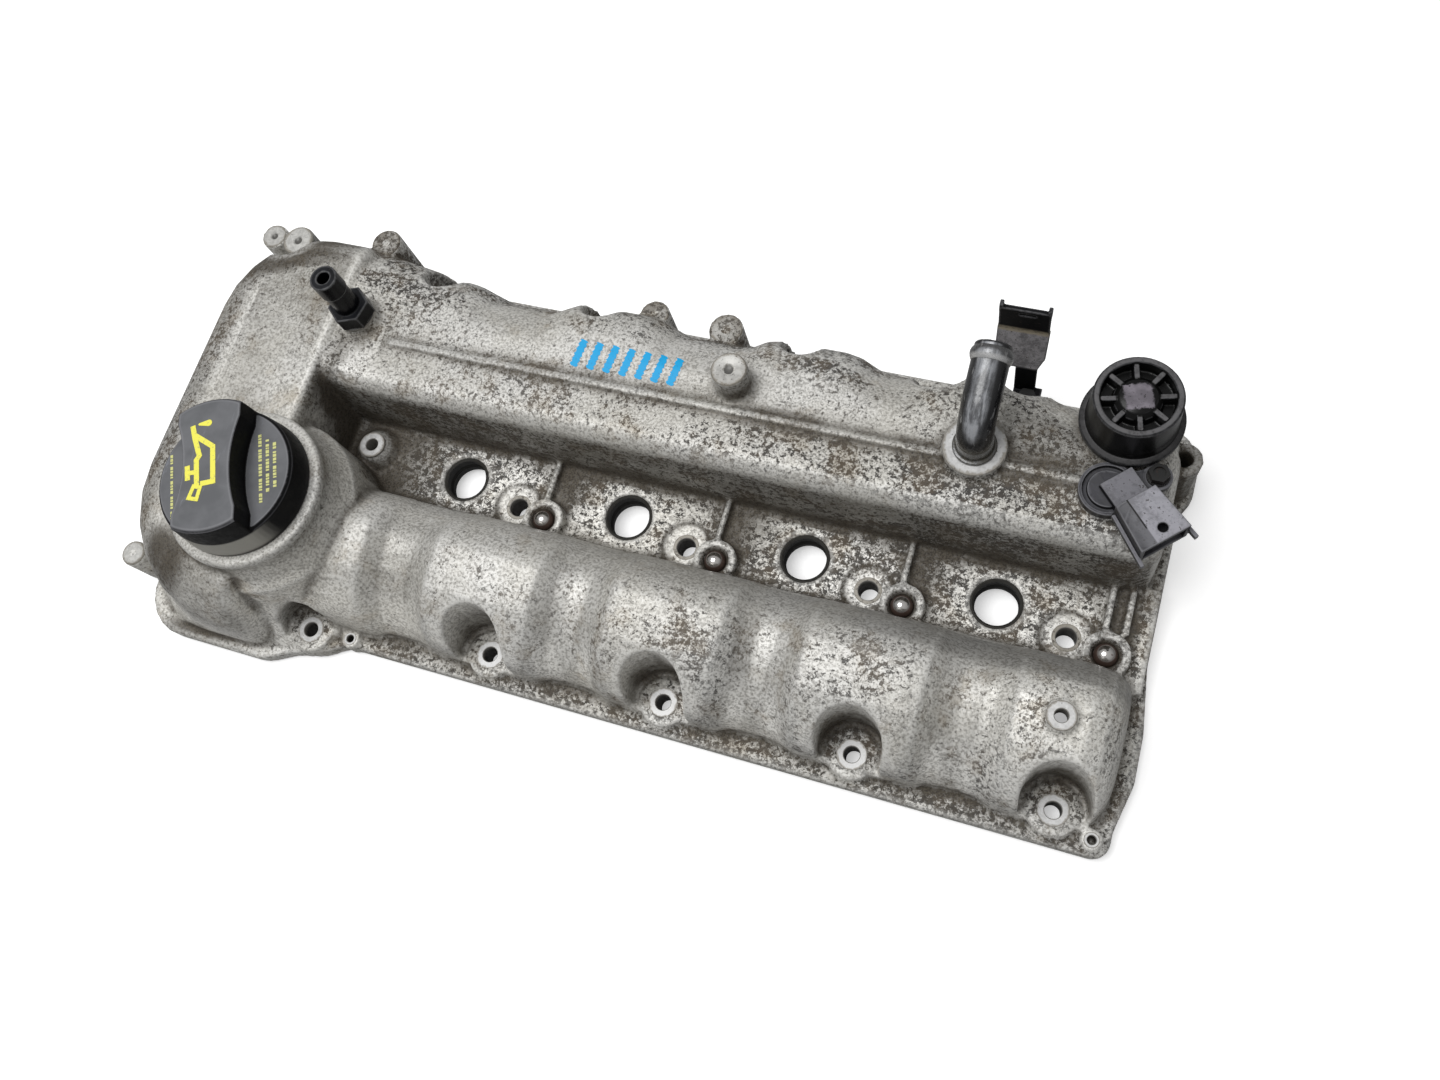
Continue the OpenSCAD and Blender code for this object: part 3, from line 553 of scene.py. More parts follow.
# place, top, radius of the dimple, outer radius and share of dirt of each machined end
BOSS_ENDS = (
    (0, 56, 70, 3.2, 7.7, 0.25), (-265.2, 96.1, 36, 2.2, 6.5, 0.10), (-236.9, 87.5, 53, 2.6, 7.7, 0.08),
    (-193.6, 97, 48, 2.0, 7.2, 0.80), (-53.4, 91, 37, 2.0, 6.8, 0.75), (-18.7, 91, 35, 2.4, 7.7, 0.65),
    (-274.5, -77, 23, 1.8, 6.0, 0.10),
)


def ring_mesh(rings):
    """Rings with a chamfered rim, each a closed solid.

    The attribute radial runs from 0 at the hole to 1 at the rim.
    """
    bm = bmesh.new()
    layer = bm.verts.layers.float.new("radial")
    for x, y, top, r0, r1, depth in rings:
        t = top + RING_PROUD
        profile = [(r0, t - depth, 0), (r0, t - 0.35, 0), (r0 + 0.3, t, 0.05), (r1 - 0.25, t, 0.95),
                   (r1, t - 0.3, 1), (r1, t - 0.9, 1), (r0 + 0.7, t - 0.9, 0.3), (r0 + 0.7, t - depth, 0.3)]
        loops = [circle(bm, x, y, z, r, [(layer, share)]) for r, z, share in profile]
        for p, q in zip(loops, loops[1:] + loops[:1]):
            bridge(bm, p, q)
    return finished(bm, "rings", sharp=RIM_SHARP)


def caps_mesh(caps):
    """Machined ends of solid bosses, each a flat with a small dimple in a chamfered rim."""
    bm = bmesh.new()
    layer = bm.verts.layers.float.new("radial")
    dirty = bm.verts.layers.float.new("dirt_and_shade")
    for x, y, top, r0, r1, dirt_and_shade in caps:
        t = top + RING_PROUD
        profile = [(0, t - 1.1, 0), (r0 * 0.55, t - 0.9, 0.02), (r0, t, 0.1), (r1 - 0.5, t, 0.9),
                   (r1, t - 0.5, 1), (r1, t - 1.4, 1), (0, t - 1.6, 0.3)]
        loops = [circle(bm, x, y, z, r, [(layer, share), (dirty, dirt_and_shade)]) for r, z, share in profile]
        for p, q in zip(loops, loops[1:]):
            bridge(bm, p, q)
    return finished(bm, "caps", sharp=RIM_SHARP)


def machined_material(name, pale, dirt_and_shade=None, pit=0.30):
    """Faced metal with a hole or pit whose wall darkens with depth as painted shade, a ragged dirty border
    and spots.
    """
    s = Shader(name)
    radial = s.attribute("radial")
    dirt_and_shade = s.attribute("dirt_and_shade") if dirt_and_shade is None else dirt_and_shade
    n = s.noise(520, 3, 0.65)
    broad = s.noise(120, 3, 0.6)
    colour = s.mix(s.ramp(n, 0.3, 0.7), tuple(0.72 * v for v in pale), pale)
    border = s.ramp(s.plus(radial, s.times(n, 0.9)), 1.12, 1.38, 0, 0.8)
    colour = s.mix(border, colour, (0.20, 0.18, 0.145))
    spots = s.ramp(s.plus(s.noise(560, 4, 0.72), s.times(dirt_and_shade, 0.22)), 0.66, 0.71)
    film_and_shade = s.times(dirt_and_shade, s.ramp(broad, 0.35, 0.62, 0.35, 0.95))
    colour = s.mix(film_and_shade, colour, (0.115, 0.095, 0.068))
    colour = s.mix(s.times(spots, 0.85), colour, (0.045, 0.036, 0.026))
    # the wall of the hole, darker with depth: painted shade
    deep = s.ramp(s.split(s.place)[2], 0.0122, 0.0085)
    wall = s.mix(deep, (pit, 0.97 * pit, 0.90 * pit), (0.060, 0.055, 0.048))
    colour = s.mix(s.ramp(radial, 0.09, 0.03), colour, wall)
    return s.set(colour=colour, metal=0.20, rough=s.ramp(n, 0.3, 0.7, 0.36, 0.52),
                 normal=s.bump(n, 0.25, 0.0001))


def rise(v, low, high):
    """0 up to low, 1 from high on."""
    return np.clip((v - low) / (high - low), 0, 1)


def band(v, low, high, soft):
    """1 from low to high, falling to 0 over soft at either end."""
    return rise(v, low - soft, low) * rise(-v, -high - soft, -high)


def spot(x, y, at, reach, soft):
    """1 within reach of a place, falling to 0 over soft round it."""
    return rise(-np.hypot(x - at[0], y - at[1]), -reach - soft, -reach)


def weathering_and_painted_light(x, y, z, nx, ny, nz):
    """Speckle, film and tone of each place on the casting: the film is old oil and in some regions painted
    shade, and the tone holds painted light and shade on slopes and walls besides the casting's own
    differences.

    A region is a mask and the three values it leads to, laid over the regions before it.
    """
    speck = np.full(len(x), 0.30)
    film_and_shade = np.zeros(len(x))
    tone = np.ones(len(x))
    inner = rise(x, -192, -188)
    high = rise(z, 50, 54)
    flat = rise(nz, 0.80, 0.97)
    hump = rise(-y, 13, 16) * rise(z, 12, 18) * rise(x, -165, -150)
    along = ((x + 126) % 84) - 42
    valley = band(y, -17, 17.5, 3) * band(z, 5, 22, 3)
    ground = band(z, 12, 15, 1)
    chamber = rise(-x, 194, 200) * rise(z, 40, 50)
    boss = rise(z, 30, 36) * rise(-z, -46, -42)
    regions = [
        # front cover, its slopes, lower wall and flange
        (hump, 0.24, 0.10, 0.86),
        # the rear slope of the swellings: its lower tone, falling towards the right, is painted shade
        (hump * rise(y, -34.5, -31.5), 0.14, 0.10,
         1.02 - 0.32 * rise(x, -100, 60) - 0.20 * rise(x, 60, 110)),
        # the slopes down into the dips between the swellings: their lower tone is painted shade
        (hump * band(along, -40, -31, 3) * rise(-y, 30, 36), 0.30, 0.10, 0.80),
        (hump * band(along, 31, 40, 3) * rise(-y, 30, 36), 0.40, 0.16, 0.80),
        # the front walls of the cover, made paler by their tone: painted light
        (rise(-y, 60, 70) * band(z, 10, 44, 4) * rise(x, -160, -150) * rise(-ny, 0.4, 0.8), 0.34, 0.0, 1.3),
        (rise(-y, 70, 76) * band(z, 8.5, 22, 3) * rise(-ny, 0.3, 0.7), 0.36, 0.04, 1.3),
        # the front strip of the flange under the swellings, darkened: dirt and painted shade
        (rise(-y, 76, 79) * band(z, 5, 8.6, 0.6), 0.95, 0.42, 1.0),
        (rise(x, 184, 187) * band(z, 5, 8.6, 0.6), 0.92, 0.22, 1.0),
        (rise(-x, 160, 170) * rise(-y, 84, 88) * band(z, 5, 8.6, 0.6), 0.45, 0.05, 1.15),
        (hump * spot(x, y, (33, -51), 7, 6), 0.45, 0.36, 0.70),
        # valley
        (valley * inner, 0.84, 0.03, 1.28),
        (valley * band(x, -18, 22, 10), 1.0, 0.22, 1.1),
        (valley * inner * band(x, -170, -142, 8), 0.95, 0.60, 0.8),
        (spot(x, y, (20, 9), 9, 6) * ground, 1.0, 0.36, 0.9),
        # rear cover: front wall, lower and upper top, back wall, crease and dark patches
        # the front wall of the rear cover and its upper edge, darkened: painted shade on the steep wall
        (band(y, 14.8, 21, 1.5) * band(z, 15.5, 49, 4) * inner, 0.85, 0.46, 0.78),
        (band(y, 14.8, 22, 1.5) * band(z, 49, 56, 3) * inner * rise(-ny, 0.2, 0.5), 0.5, 0.15, 0.9),
        (band(y, 20.5, 42.5, 2) * high * inner, 0.46 + 0.52 * rise(x, -60, 60), 0.05, 0.90),
        (band(y, 46, 76, 3) * high * inner,
         0.62 - 0.34 * band(x, -110, 20, 40) + 0.40 * rise(y, 64, 72), 0.05, 0.95),
        (rise(y, 75, 82) * band(z, 9, 54, 3) * rise(x, -200, -190), 0.85, 0.20, 0.95),
        # the dark line at the foot of the rib: the painted shadow of the rib
        (band(y, 40.4, 42.6, 0.8) * high * inner, 0.7, 0.65, 0.8),
        (band(y, 44.6, 47, 1) * high * inner, 0.6, 0.40, 0.9),
        (high * band(x, 118, 152, 8) * band(y, 47, 68, 4), 0.75, 0.42, 0.75),
        # the right end of the top, darkened: painted shade under the vent valve and round the sensor screw
        (high * rise(x, 168, 176) * rise(y, 18, 24), 0.8, 0.30, 0.85),
        # timing chamber and neck
        (chamber, 0.16, 0.02, 1.08),
        (chamber * rise(-x, 236, 246), 0.70, 0.34, 0.86),
        (chamber * rise(y, 56, 66), 0.95, 0.82, 0.45),
        (rise(-x, 186, 192) * rise(-y, 66, 76) * rise(z, 20, 40), 0.35, 0.34, 0.86),
        # the right wall of the timing chamber, and the gap where it meets the top of the rear cover,
        # darkened: painted shade
        (band(x, -196, -186, 3) * band(y, 12, 44, 4) * band(z, 14, 60, 3) * rise(nx, 0.3, 0.7),
         0.9, 0.85, 0.6),
        (band(x, -192, -184, 3) * band(y, 16, 42, 3) * band(z, 50, 60, 3), 0.8, 0.60, 0.8),
        (spot(x, y, (-228, -80), 9, 8) * rise(z, 40, 52), 0.8, 0.90, 0.6),
        # the front face of the flange under the chamber, darkened: dirt and painted shade
        (band(x, -250, -215, 8) * rise(-y, 99, 101) * band(z, 6, 10, 1), 0.6, 0.80, 0.6),
        (rise(z, 60, 66) * spot(x, y, FILLER, 40, 4) * rise(x, -172, -160), 0.45, 0.15, 0.64),
        # bosses
        (spot(x, y, (-176, 4), 15, 3) * rise(z, 12, 15) * rise(-z, -24, -22), 0.9, 0.75, 0.7),
        (spot(x, y, (185, 69), 13, 2) * rise(-z, -40, -34) * rise(-nz, -0.6, -0.3), 0.9, 0.8, 0.6),
        (spot(x, y, (187, 69), 10, 2) * boss, 1.0, 0.60, 0.80),
        # inside the hole of the boss, darkened: painted shade
        (spot(x, y, (187, 69), 4.6, 0.6) * boss, 0.9, 0.93, 0.5),
        (spot(x, y, (0, 56), 8.6, 0.8) * rise(z, 57.5, 59) * rise(nx - ny, 0.0, 0.8), 0.9, 0.85, 0.6),
    ]
    for centre, width, dots, pale in PLATEAUS:
        off = np.abs(x - centre) / width
        top = rise(-y - 6 * off ** 4, 31.5, 34.5)
        regions.append((hump * band(off * width, -1, width, 2.5) * top, dots, 0.0, pale))
    # the pale floors of the dips: painted light
    for at in PALE_STRIPS:
        regions.append((hump * band(np.abs(x - at), -1, 3.2, 1.8) * rise(-y, 34, 37), 0.40, 0.0, 0.97))
    for bx in BORES:
        post = (bx + PLUG_POST[0], PLUG_POST[1])
        pad = np.hypot(x - bx - VALLEY_BOLT[0], y - VALLEY_BOLT[1])
        low = rise(z, 9, 11) * rise(-z, -24, -22)
        regions += [
            (band(pad, -1, 10.3, 0.6) * low, 0.50, 0.0, 1.20),
            # a dark ring at the rim of each pad's recess: painted shade
            (band(pad, 10.7, 11.6, 0.5) * low, 0.80, 0.85, 0.6),
            (spot(x, y, post, 8.6, 0.5) * low, 0.85, 0.26, 0.88),
            (spot(x, y, post, 5.6, 0.6) * low, 0.9, 0.95, 0.5),
            (band(x, post[0] + 8, post[0] + 17, 4) * band(y, 0, 16, 3) * ground, 1.0, 0.24, 0.95),
            (band(x, post[0] + 1.0, post[0] + 8, 3) * band(y, -6, 15, 2) * ground, 1.0, 0.70, 0.7),
        ]
    for bx, by in FRONT_BOLTS:
        regions += [
            # the hollow walls above the front bolts, made paler by their tone: painted light
            (spot(x, y, (bx, by), 19, 3) * band(z, 27, 52, 4) * rise(-nz, -0.9, -0.5), 0.30, 0.0, 1.3),
            (spot(x, y, (bx, by), 13.5, 2) * band(z, 10, 24, 5) * rise(y - by, 1, 5), 0.6, 0.42, 0.95),
            (spot(x, y, (bx, by), 11, 1) * band(z, 8.5, 13, 0.6) * flat, 0.80, 0.22, 1.0),
        ]
    for mask, a, b, c in regions:
        speck += mask * (a - speck)
        film_and_shade += mask * (b - film_and_shade)
        tone += mask * (c - tone)
    return speck, film_and_shade, tone


def joined_zones():
    """The zones of the casting in one mesh, without the flat faces on which they meet."""
    bm = bmesh.new()
    for node in CASTING:
        bm.from_mesh(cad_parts[node].data)

    def on_cut(face):
        return any(all(abs(v.co[axis] - at * MM) < CUT_ROOM for v in face.verts) for axis, at in CUTS)

    bmesh.ops.delete(bm, geom=[face for face in bm.faces if on_cut(face)], context="FACES")
    mesh = bpy.data.meshes.new("zones")
    bm.to_mesh(mesh)
    bm.free()
    return mesh


def cover():
    """The casting as one relaxed skin, its machined holes cleared for their crisp rings."""
    obj = remeshed(joined_zones(), "cover_surface", COVER_VOXEL * MM, COVER_ROUNDS)
    mesh = obj.data
    co = points_of(mesh)
    for hx, hy, top, r0, r1, depth in RINGS + DULL_RINGS:
        d = co[:, :2] / MM - np.array([hx, hy])
        r = np.hypot(d[:, 0], d[:, 1])
        z = co[:, 2] / MM
        near = (r < r0 + HOLE_ROOM) & (z > top - depth - 1) & (z < top + 1)
        push = (r0 + HOLE_ROOM) / np.maximum(r[near], 0.3)
        co[near, 0] = (hx + d[near, 0] * push) * MM
        co[near, 1] = (hy + d[near, 1] * push) * MM
    put_points(mesh, co)
    relax = Relaxer(mesh)
    normal = normals_of(mesh)
    far = co.copy()
    for i in range(FAR_ROUNDS):
        far = relax.mean(far)
        if i + 1 == NEAR_ROUNDS:
            near = far.copy()
    dip = ((near - co) * normal).sum(1) / (0.40 * MM)
    dip_far = ((far - co) * normal).sum(1) / (2.2 * MM)
    cavity = np.clip(dip, 0, 1) * 0.5 + np.clip(dip_far, 0, 1) * 0.8
    crest = np.clip(-dip, 0, 1)
    speck, film_and_shade, tone = weathering_and_painted_light(*(co / MM).T, *normal.T)
    kept = {"cavity": cavity, "crest": crest, "speck": speck, "film_and_shade": film_and_shade, "tone": tone}
    for name in kept:
        for _ in range(2):
            kept[name] = relax.mean(kept[name])
    carried(obj, kept, COVER_TRIANGLES)
    obj.data.materials.append(cast_material("cast_aluminium"))
    return stands_for(obj, CASTING)


def machined_parts():
    """Crisp rings and ends where the casting is machined."""
    faced = machined_material("faced_aluminium", (0.66, 0.66, 0.655), dirt_and_shade=0.10)
    stained = machined_material("stained_aluminium", (0.40, 0.38, 0.335), dirt_and_shade=0.45)
    sawn = machined_material("sawn_aluminium", (0.60, 0.595, 0.57), pit=0.10)
    added("machined_rings", ring_mesh(RINGS), faced)
    added("valley_rings", ring_mesh(DULL_RINGS), stained)
    added("machined_ends", caps_mesh(BOSS_ENDS), sawn)


# ------------------------------------------------------------------ plastics, rubber and steel

def dusty(name, colour, dust, reach, rough=0.5, amount=0.6, specular=0.5, worn=0.12):
    """Dark moulded or painted surface with dust on what faces up, paler along its worn edges."""
    s = Shader(name)
    n = s.noise(420, 3, 0.65)
    cloud = s.noise(85, 3, 0.6)
    top = s.ramp(s.facing((0, 0, 1)), reach, 0.98)
    film_and_shade = s.times(top, s.ramp(s.plus(n, cloud), 0.75, 1.20, 0.35 * amount, amount))
    base = s.mix(s.ramp(n, 0.35, 0.7), colour, tuple(v * 1.4 for v in colour))
    c = s.mix(film_and_shade, base, dust)
    specks = s.ramp(s.noise(640, 4, 0.75), 0.60, 0.66, 0, 0.55)
    c = s.mix(s.times(specks, top), c, (0.055, 0.048, 0.040))
    edge = s.times(s.ramp(s.attribute("crest"), 0.35, 0.9), s.ramp(n, 0.35, 0.6, 0.4, 1.0))
    c = s.mix(s.times(edge, 0.8), c, (worn, worn, 1.03 * worn))
    return s.set(colour=c, rough=s.ramp(film_and_shade, 0, 0.6, rough, min(rough + 0.25, 0.9)), specular=specular,
                 normal=s.bump(s.noise(1500, 2), 0.3, 0.00012))


def pipe_material():
    """Black painted steel, scratched along its length, with painted highlights on the side towards the light
    and at the knee, a pale band on the bead that is worn metal and painted highlight, and a dull foot.
    """
    s = Shader("pipe_steel")
    z = s.split(s.place)[2]
    facing = s.facing((-0.10, -0.52, 0.85))
    scratch = s.noise(420, 4, 0.7, stretch=(1, 0.10, 0.25))
    cloud = s.noise(110, 3, 0.6)
    n = s.noise(900, 3, 0.7)
    # painted highlight on the side that faces the light, broken up by the scratches
    lit = s.ramp(facing, 0.72, 0.96)
    patchy = s.plus(scratch, s.times(cloud, 0.5))
    painted_highlight = s.times(lit, s.ramp(patchy, 0.62, 0.86, 0.25, 1.0))
    # painted reflection on the lower side of the knee
    knee = s.facing((-0.07, -0.75, 0.65))
    low = s.times(s.ramp(knee, 0.90, 0.985), s.ramp(z, 0.0855, 0.0830))
    low = s.times(low, s.ramp(scratch, 0.30, 0.60, 0.5, 1.2))
    painted_highlight = s.math("MAXIMUM", painted_highlight, low)
    c = s.mix(painted_highlight, (0.008, 0.008, 0.009), (0.30, 0.31, 0.33))
    # scratches paler only on the side towards the light: painted highlight
    line = s.times(s.ramp(scratch, 0.60, 0.66), s.ramp(facing, 0.2, 0.7))
    c = s.mix(s.times(line, 0.6), c, (0.34, 0.34, 0.34))
    foot = s.times(s.ramp(z, 0.0735, 0.0700), s.ramp(n, 0.35, 0.6, 0.35, 0.9))
    c = s.mix(foot, c, (0.060, 0.054, 0.040))
    # the pale band on the lower edge of the bead: worn metal and painted highlight
    bead = s.times(s.attribute("bead"), s.ramp(n, 0.30, 0.55, 0.60, 1.0))
    c = s.mix(bead, c, (0.52, 0.52, 0.52))
    return s.set(colour=c, metal=s.times(bead, 0.5), rough=s.ramp(n, 0.3, 0.7, 0.16, 0.34), specular=0.6,
                 normal=s.bump(scratch, 0.25, 0.00010))


def vent_material():
    """Black plastic with thin dust on the rim and spokes, and a squarish dusty patch on the dome."""
    s = Shader("vent_plastic")
    x, y, z = s.split(s.place)
    nz = s.split(s.normal)[2]
    dx, dy = s.minus(x, 0.161), s.minus(y, 0.0705)
    across = s.plus(s.times(dx, 0.956), s.times(dy, 0.292))
    along = s.minus(s.times(dy, 0.956), s.times(dx, 0.292))
    reach = s.math("MAXIMUM", s.math("ABSOLUTE", across), s.math("ABSOLUTE", along))
    radius = s.math("SQRT", s.plus(s.times(dx, dx), s.times(dy, dy)))
    n = s.noise(520, 4, 0.7)
    cloud = s.noise(120, 3, 0.6)
    up = s.ramp(nz, 0.80, 0.97)
    level = s.math("MAXIMUM", s.ramp(z, 0.0828, 0.0833), s.ramp(z, 0.0675, 0.0660, 0, 0.7))
    rim = s.times(s.times(up, level), s.ramp(radius, 0.0078, 0.0084))
    rim = s.times(rim, s.ramp(s.plus(n, cloud), 0.75, 1.15, 0.5, 1.0))
    ragged = s.plus(reach, s.times(s.minus(n, 0.5), 0.0030))
    patch = s.times(s.ramp(ragged, 0.0054, 0.0046), s.ramp(z, 0.0800, 0.0825))
    c = s.mix(rim, (0.0035, 0.0035, 0.0035), (0.118, 0.115, 0.118))
    c = s.mix(s.times(patch, s.ramp(cloud, 0.35, 0.62, 0.55, 1.0)), c, (0.225, 0.205, 0.235))
    specks = s.ramp(s.noise(640, 4, 0.75), 0.58, 0.64, 0, 0.8)
    c = s.mix(s.times(specks, s.math("MAXIMUM", rim, patch)), c, (0.020, 0.018, 0.018))
    edge = s.times(s.ramp(s.attribute("crest"), 0.40, 0.95), s.ramp(n, 0.35, 0.6, 0.3, 0.9))
    c = s.mix(s.times(edge, s.ramp(z, 0.062, 0.078, 0.35, 0.75)), c, (0.105, 0.105, 0.110))
    return s.set(colour=c, rough=s.ramp(s.math("MAXIMUM", rim, patch), 0, 0.6, 0.30, 0.72), specular=0.20,
                 normal=s.bump(n, 0.25, 0.00012))


def bracket_material():
    """Black sheet steel: glossy tab and leg, and a plate that dust has turned grey."""
    s = Shader("bracket_steel")
    z = s.split(s.place)[2]
    ny = s.split(s.normal)[1]
    n = s.noise(600, 4, 0.75)
    cloud = s.noise(90, 3, 0.6)
    front = s.ramp(s.times(ny, -1.0), 0.55, 0.90)
    plate = s.times(s.ramp(z, 0.0425, 0.0450), s.ramp(z, 0.0655, 0.0640))
    dust = s.times(s.times(front, plate), s.ramp(s.plus(n, cloud), 0.80, 1.15, 0.45, 1.0))
    c = s.mix(dust, (0.004, 0.004, 0.005), (0.300, 0.290, 0.300))
    c = s.mix(s.times(s.ramp(n, 0.60, 0.66), front), c, (0.035, 0.030, 0.026))
    line = s.times(s.ramp(z, 0.0630, 0.0640), s.ramp(z, 0.0672, 0.0655))
    c = s.mix(s.times(line, s.ramp(n, 0.35, 0.6, 0.5, 1.0)), c, (0.30, 0.26, 0.19))
    edge = s.times(s.ramp(s.attribute("crest"), 0.4, 0.9), s.ramp(n, 0.35, 0.6, 0.2, 0.8))
    c = s.mix(edge, c, (0.10, 0.10, 0.105))
    return s.set(colour=c, rough=s.ramp(dust, 0, 0.6, 0.42, 0.80), specular=0.12,
                 normal=s.bump(n, 0.2, 0.00008))


def sensor_material():
    """Dark plastic with blue-grey dust, palest on the shell of the connector."""
    s = Shader("sensor_plastic")
    x, y, z = s.split(s.place)
    nz = s.split(s.normal)[2]
    dx, dy = s.minus(x, 0.158), s.minus(y, 0.0405)
    run = s.minus(s.times(dx, 0.6947), s.times(dy, 0.7193))
    side = s.plus(s.times(dx, 0.7193), s.times(dy, 0.6947))
    n = s.noise(520, 4, 0.7)
    cloud = s.noise(80, 3, 0.6)
    up = s.ramp(nz, 0.80, 0.97)
    shell = s.ramp(z, 0.0690, 0.0705)
    plate = s.times(shell, s.ramp(side, 0.0004, 0.0010))
    dust = s.times(up, s.ramp(s.plus(n, cloud), 0.80, 1.15, 0.55, 1.0))
    flank = s.mix(s.ramp(side, -0.0045, -0.0010), (0.055, 0.055, 0.062), (0.130, 0.130, 0.142))
    low = s.mix(s.ramp(z, 0.0636, 0.0646), (0.045, 0.045, 0.053), (0.180, 0.178, 0.198))
    pale = s.mix(shell, low, flank)
    pale = s.mix(plate, pale, (0.315, 0.312, 0.345))
    c = s.mix(dust, (0.008, 0.008, 0.009), pale)
    c = s.mix(s.times(s.ramp(n, 0.60, 0.66), up), c, (0.045, 0.042, 0.042))
    edge = s.times(s.ramp(s.attribute("crest"), 0.45, 0.95), 0.6)
    c = s.mix(edge, c, (0.20, 0.20, 0.215))
    groove = s.times(s.ramp(side, 0.0001, 0.0003), s.ramp(side, 0.0010, 0.0007))
    groove = s.times(s.times(groove, shell), s.ramp(run, 0.0235, 0.0225))
    c = s.mix(groove, c, (0.004, 0.004, 0.004))
    normal = s.bump(s.ramp(side, -0.0045, 0.0005, smooth=False), 1.0, 0.0025)
    return s.set(colour=c, rough=s.ramp(dust, 0, 0.8, 0.38, 0.62), specular=0.4,
                 normal=s.bump(s.noise(1500, 2), 0.3, 0.00010, normal))


def steel_material(name, colour, rust_and_dark_reflection, rough):
    """Bright steel, brown with rust in spots, and dark brown on its sides: rust and a painted reflection of
    dark surroundings.
    """
    s = Shader(name)
    n = s.noise(380, 3, 0.65)
    nz = s.split(s.normal)[2]
    # the sides darker brown: rust, and a painted reflection of the dark surroundings
    side = s.ramp(nz, 0.86, 0.62)
    mask = s.times(s.math("MAXIMUM", side, s.ramp(n, 0.62, 0.72)), rust_and_dark_reflection)
    c = s.mix(mask, colour, (0.070, 0.036, 0.024))
    return s.set(colour=c, metal=s.ramp(mask, 0, 1, 1.0, 0.55), rough=s.ramp(mask, 0, 1, rough, 0.45),
                 normal=s.bump(n, 0.15, 0.0001))


# ------------------------------------------------------------------ oil filler cap

# heights of the print on the grip and on the top beside it
YELLOW_AT = 98.04
CRESCENT_AT = 86.04
DROP_RADIUS = 1.45
PRINT_SUNK = 0.05
LONGEST_MITRE = 0.45


def flat_strip(bm, points, width, z, closed, thick):
    """A mitred line of even width, raised a little from the plane z."""
    pts = [Vector(p) for p in points]
    n = len(pts)
    left, right = [], []
    for i, p in enumerate(pts):
        a = pts[i - 1] if (i > 0 or closed) else None
        b = pts[(i + 1) % n] if (i < n - 1 or closed) else None
        d0 = (p - a).normalized() if a is not None else (b - p).normalized()
        d1 = (b - p).normalized() if b is not None else d0
        m = Vector((-(d0.y + d1.y), d0.x + d1.x)).normalized()
        half = 0.5 * width / max(m.dot(Vector((-d0.y, d0.x))), LONGEST_MITRE)
        left.append(p + m * half)
        right.append(p - m * half)
    count = n if closed else n - 1
    for i in range(count):
        j = (i + 1) % n
        prism(bm, (left[i], right[i], right[j], left[j]), z, thick)


def prism(bm, corners, z, thick=0.10):
    """A thin plate of print on the cap, sunk a little into it."""
    low, top = ([bm.verts.new(((FILLER[0] + p[0]) * MM, (FILLER[1] + p[1]) * MM, at * MM)) for p in corners]
                for at in (z - PRINT_SUNK, z + thick))
    bm.faces.new(top)
    bm.faces.new(low[::-1])
    for i in range(len(corners)):
        j = (i + 1) % len(corners)
        bm.faces.new((low[i], low[j], top[j], top[i]))


def print_marks():
    """Oil can sign on the grip and rows of short bars beside it, in worn yellow print."""
    bm = bmesh.new()
    strokes = (
        (((-14.3, 14.5), (-10.7, 9.4), (-5.2, 2.7), (-5.6, 0.5), (-0.3, -10.0)), 2.3, False),
        (((-11.5, 10.8), (-1.0, 8.0), (6.1, -6.5), (0.9, -8.9)), 2.3, False),
        (((-7.0, -5.9), (-3.0, -4.5)), 2.0, False),
        (((-8.5, -2.9), (-5.4, -8.9)), 2.3, False),
        (((-1.5, -10.6), (1.6, -10.4), (2.4, -15.6), (-1.4, -16.0)), 1.7, True),
    )
    for k, (points, width, closed) in enumerate(strokes):
        flat_strip(bm, points, width, YELLOW_AT, closed, 0.08 + 0.015 * k)
    drop = []
    a, b = Vector((-11.8, 15.8)), Vector((-7.6, 17.5))
    axis = (b - a).normalized()
    side = Vector((-axis.y, axis.x))
    for i in range(17):
        t = math.radians(-105 + 210 * i / 16)
        drop.append(b + axis * DROP_RADIUS * math.cos(t) + side * DROP_RADIUS * math.sin(t))
    drop += [a + side * 0.5, a - axis * 0.3, a - side * 0.5]
    prism(bm, drop, YELLOW_AT)
    rows = (((8.7, 20.9), (22.8, -8.1)), ((13.1, 19.6), (24.0, -3.3)), ((16.9, 19.2), (26.3, -0.5)),
            ((-28.3, 2.9), (-14.7, -24.0)))
    lengths = (1.3, 0.8, 1.5, 0.9, 1.2, 0.7, 1.6, 1.0, 0.8, 1.4)
    for k, (p, q) in enumerate(rows):
        p, q = Vector(p), Vector(q)
        along = (q - p).normalized()
        across = Vector((-along.y, along.x)) * (0.75 if k < 3 else 0.60)
        at, i = 0.0, k * 3
        while at < (q - p).length - 0.6:
            size = min(lengths[i % len(lengths)], (q - p).length - at)
            a, b = p + along * at, p + along * at + along * size
            prism(bm, [a - across, b - across, b + across, a + across], CRESCENT_AT)
            at += size + (1.3 if i % 4 == 3 else 0.4)
            i += 1
    s = Shader("yellow_print")
    z = s.split(s.place)[2]
    n = s.noise(700, 3, 0.7)
    bright = s.mix(s.ramp(z, 0.090, 0.094), (0.60, 0.60, 0.22), (0.82, 0.77, 0.085))
    colour = s.mix(s.ramp(n, 0.54, 0.72), bright, (0.40, 0.38, 0.13))
    material = s.set(colour=colour, rough=0.55, normal=s.bump(n, 0.2, 0.00008))
    added("cap_print", finished(bm, "cap_print", smooth=False), material, "cap")


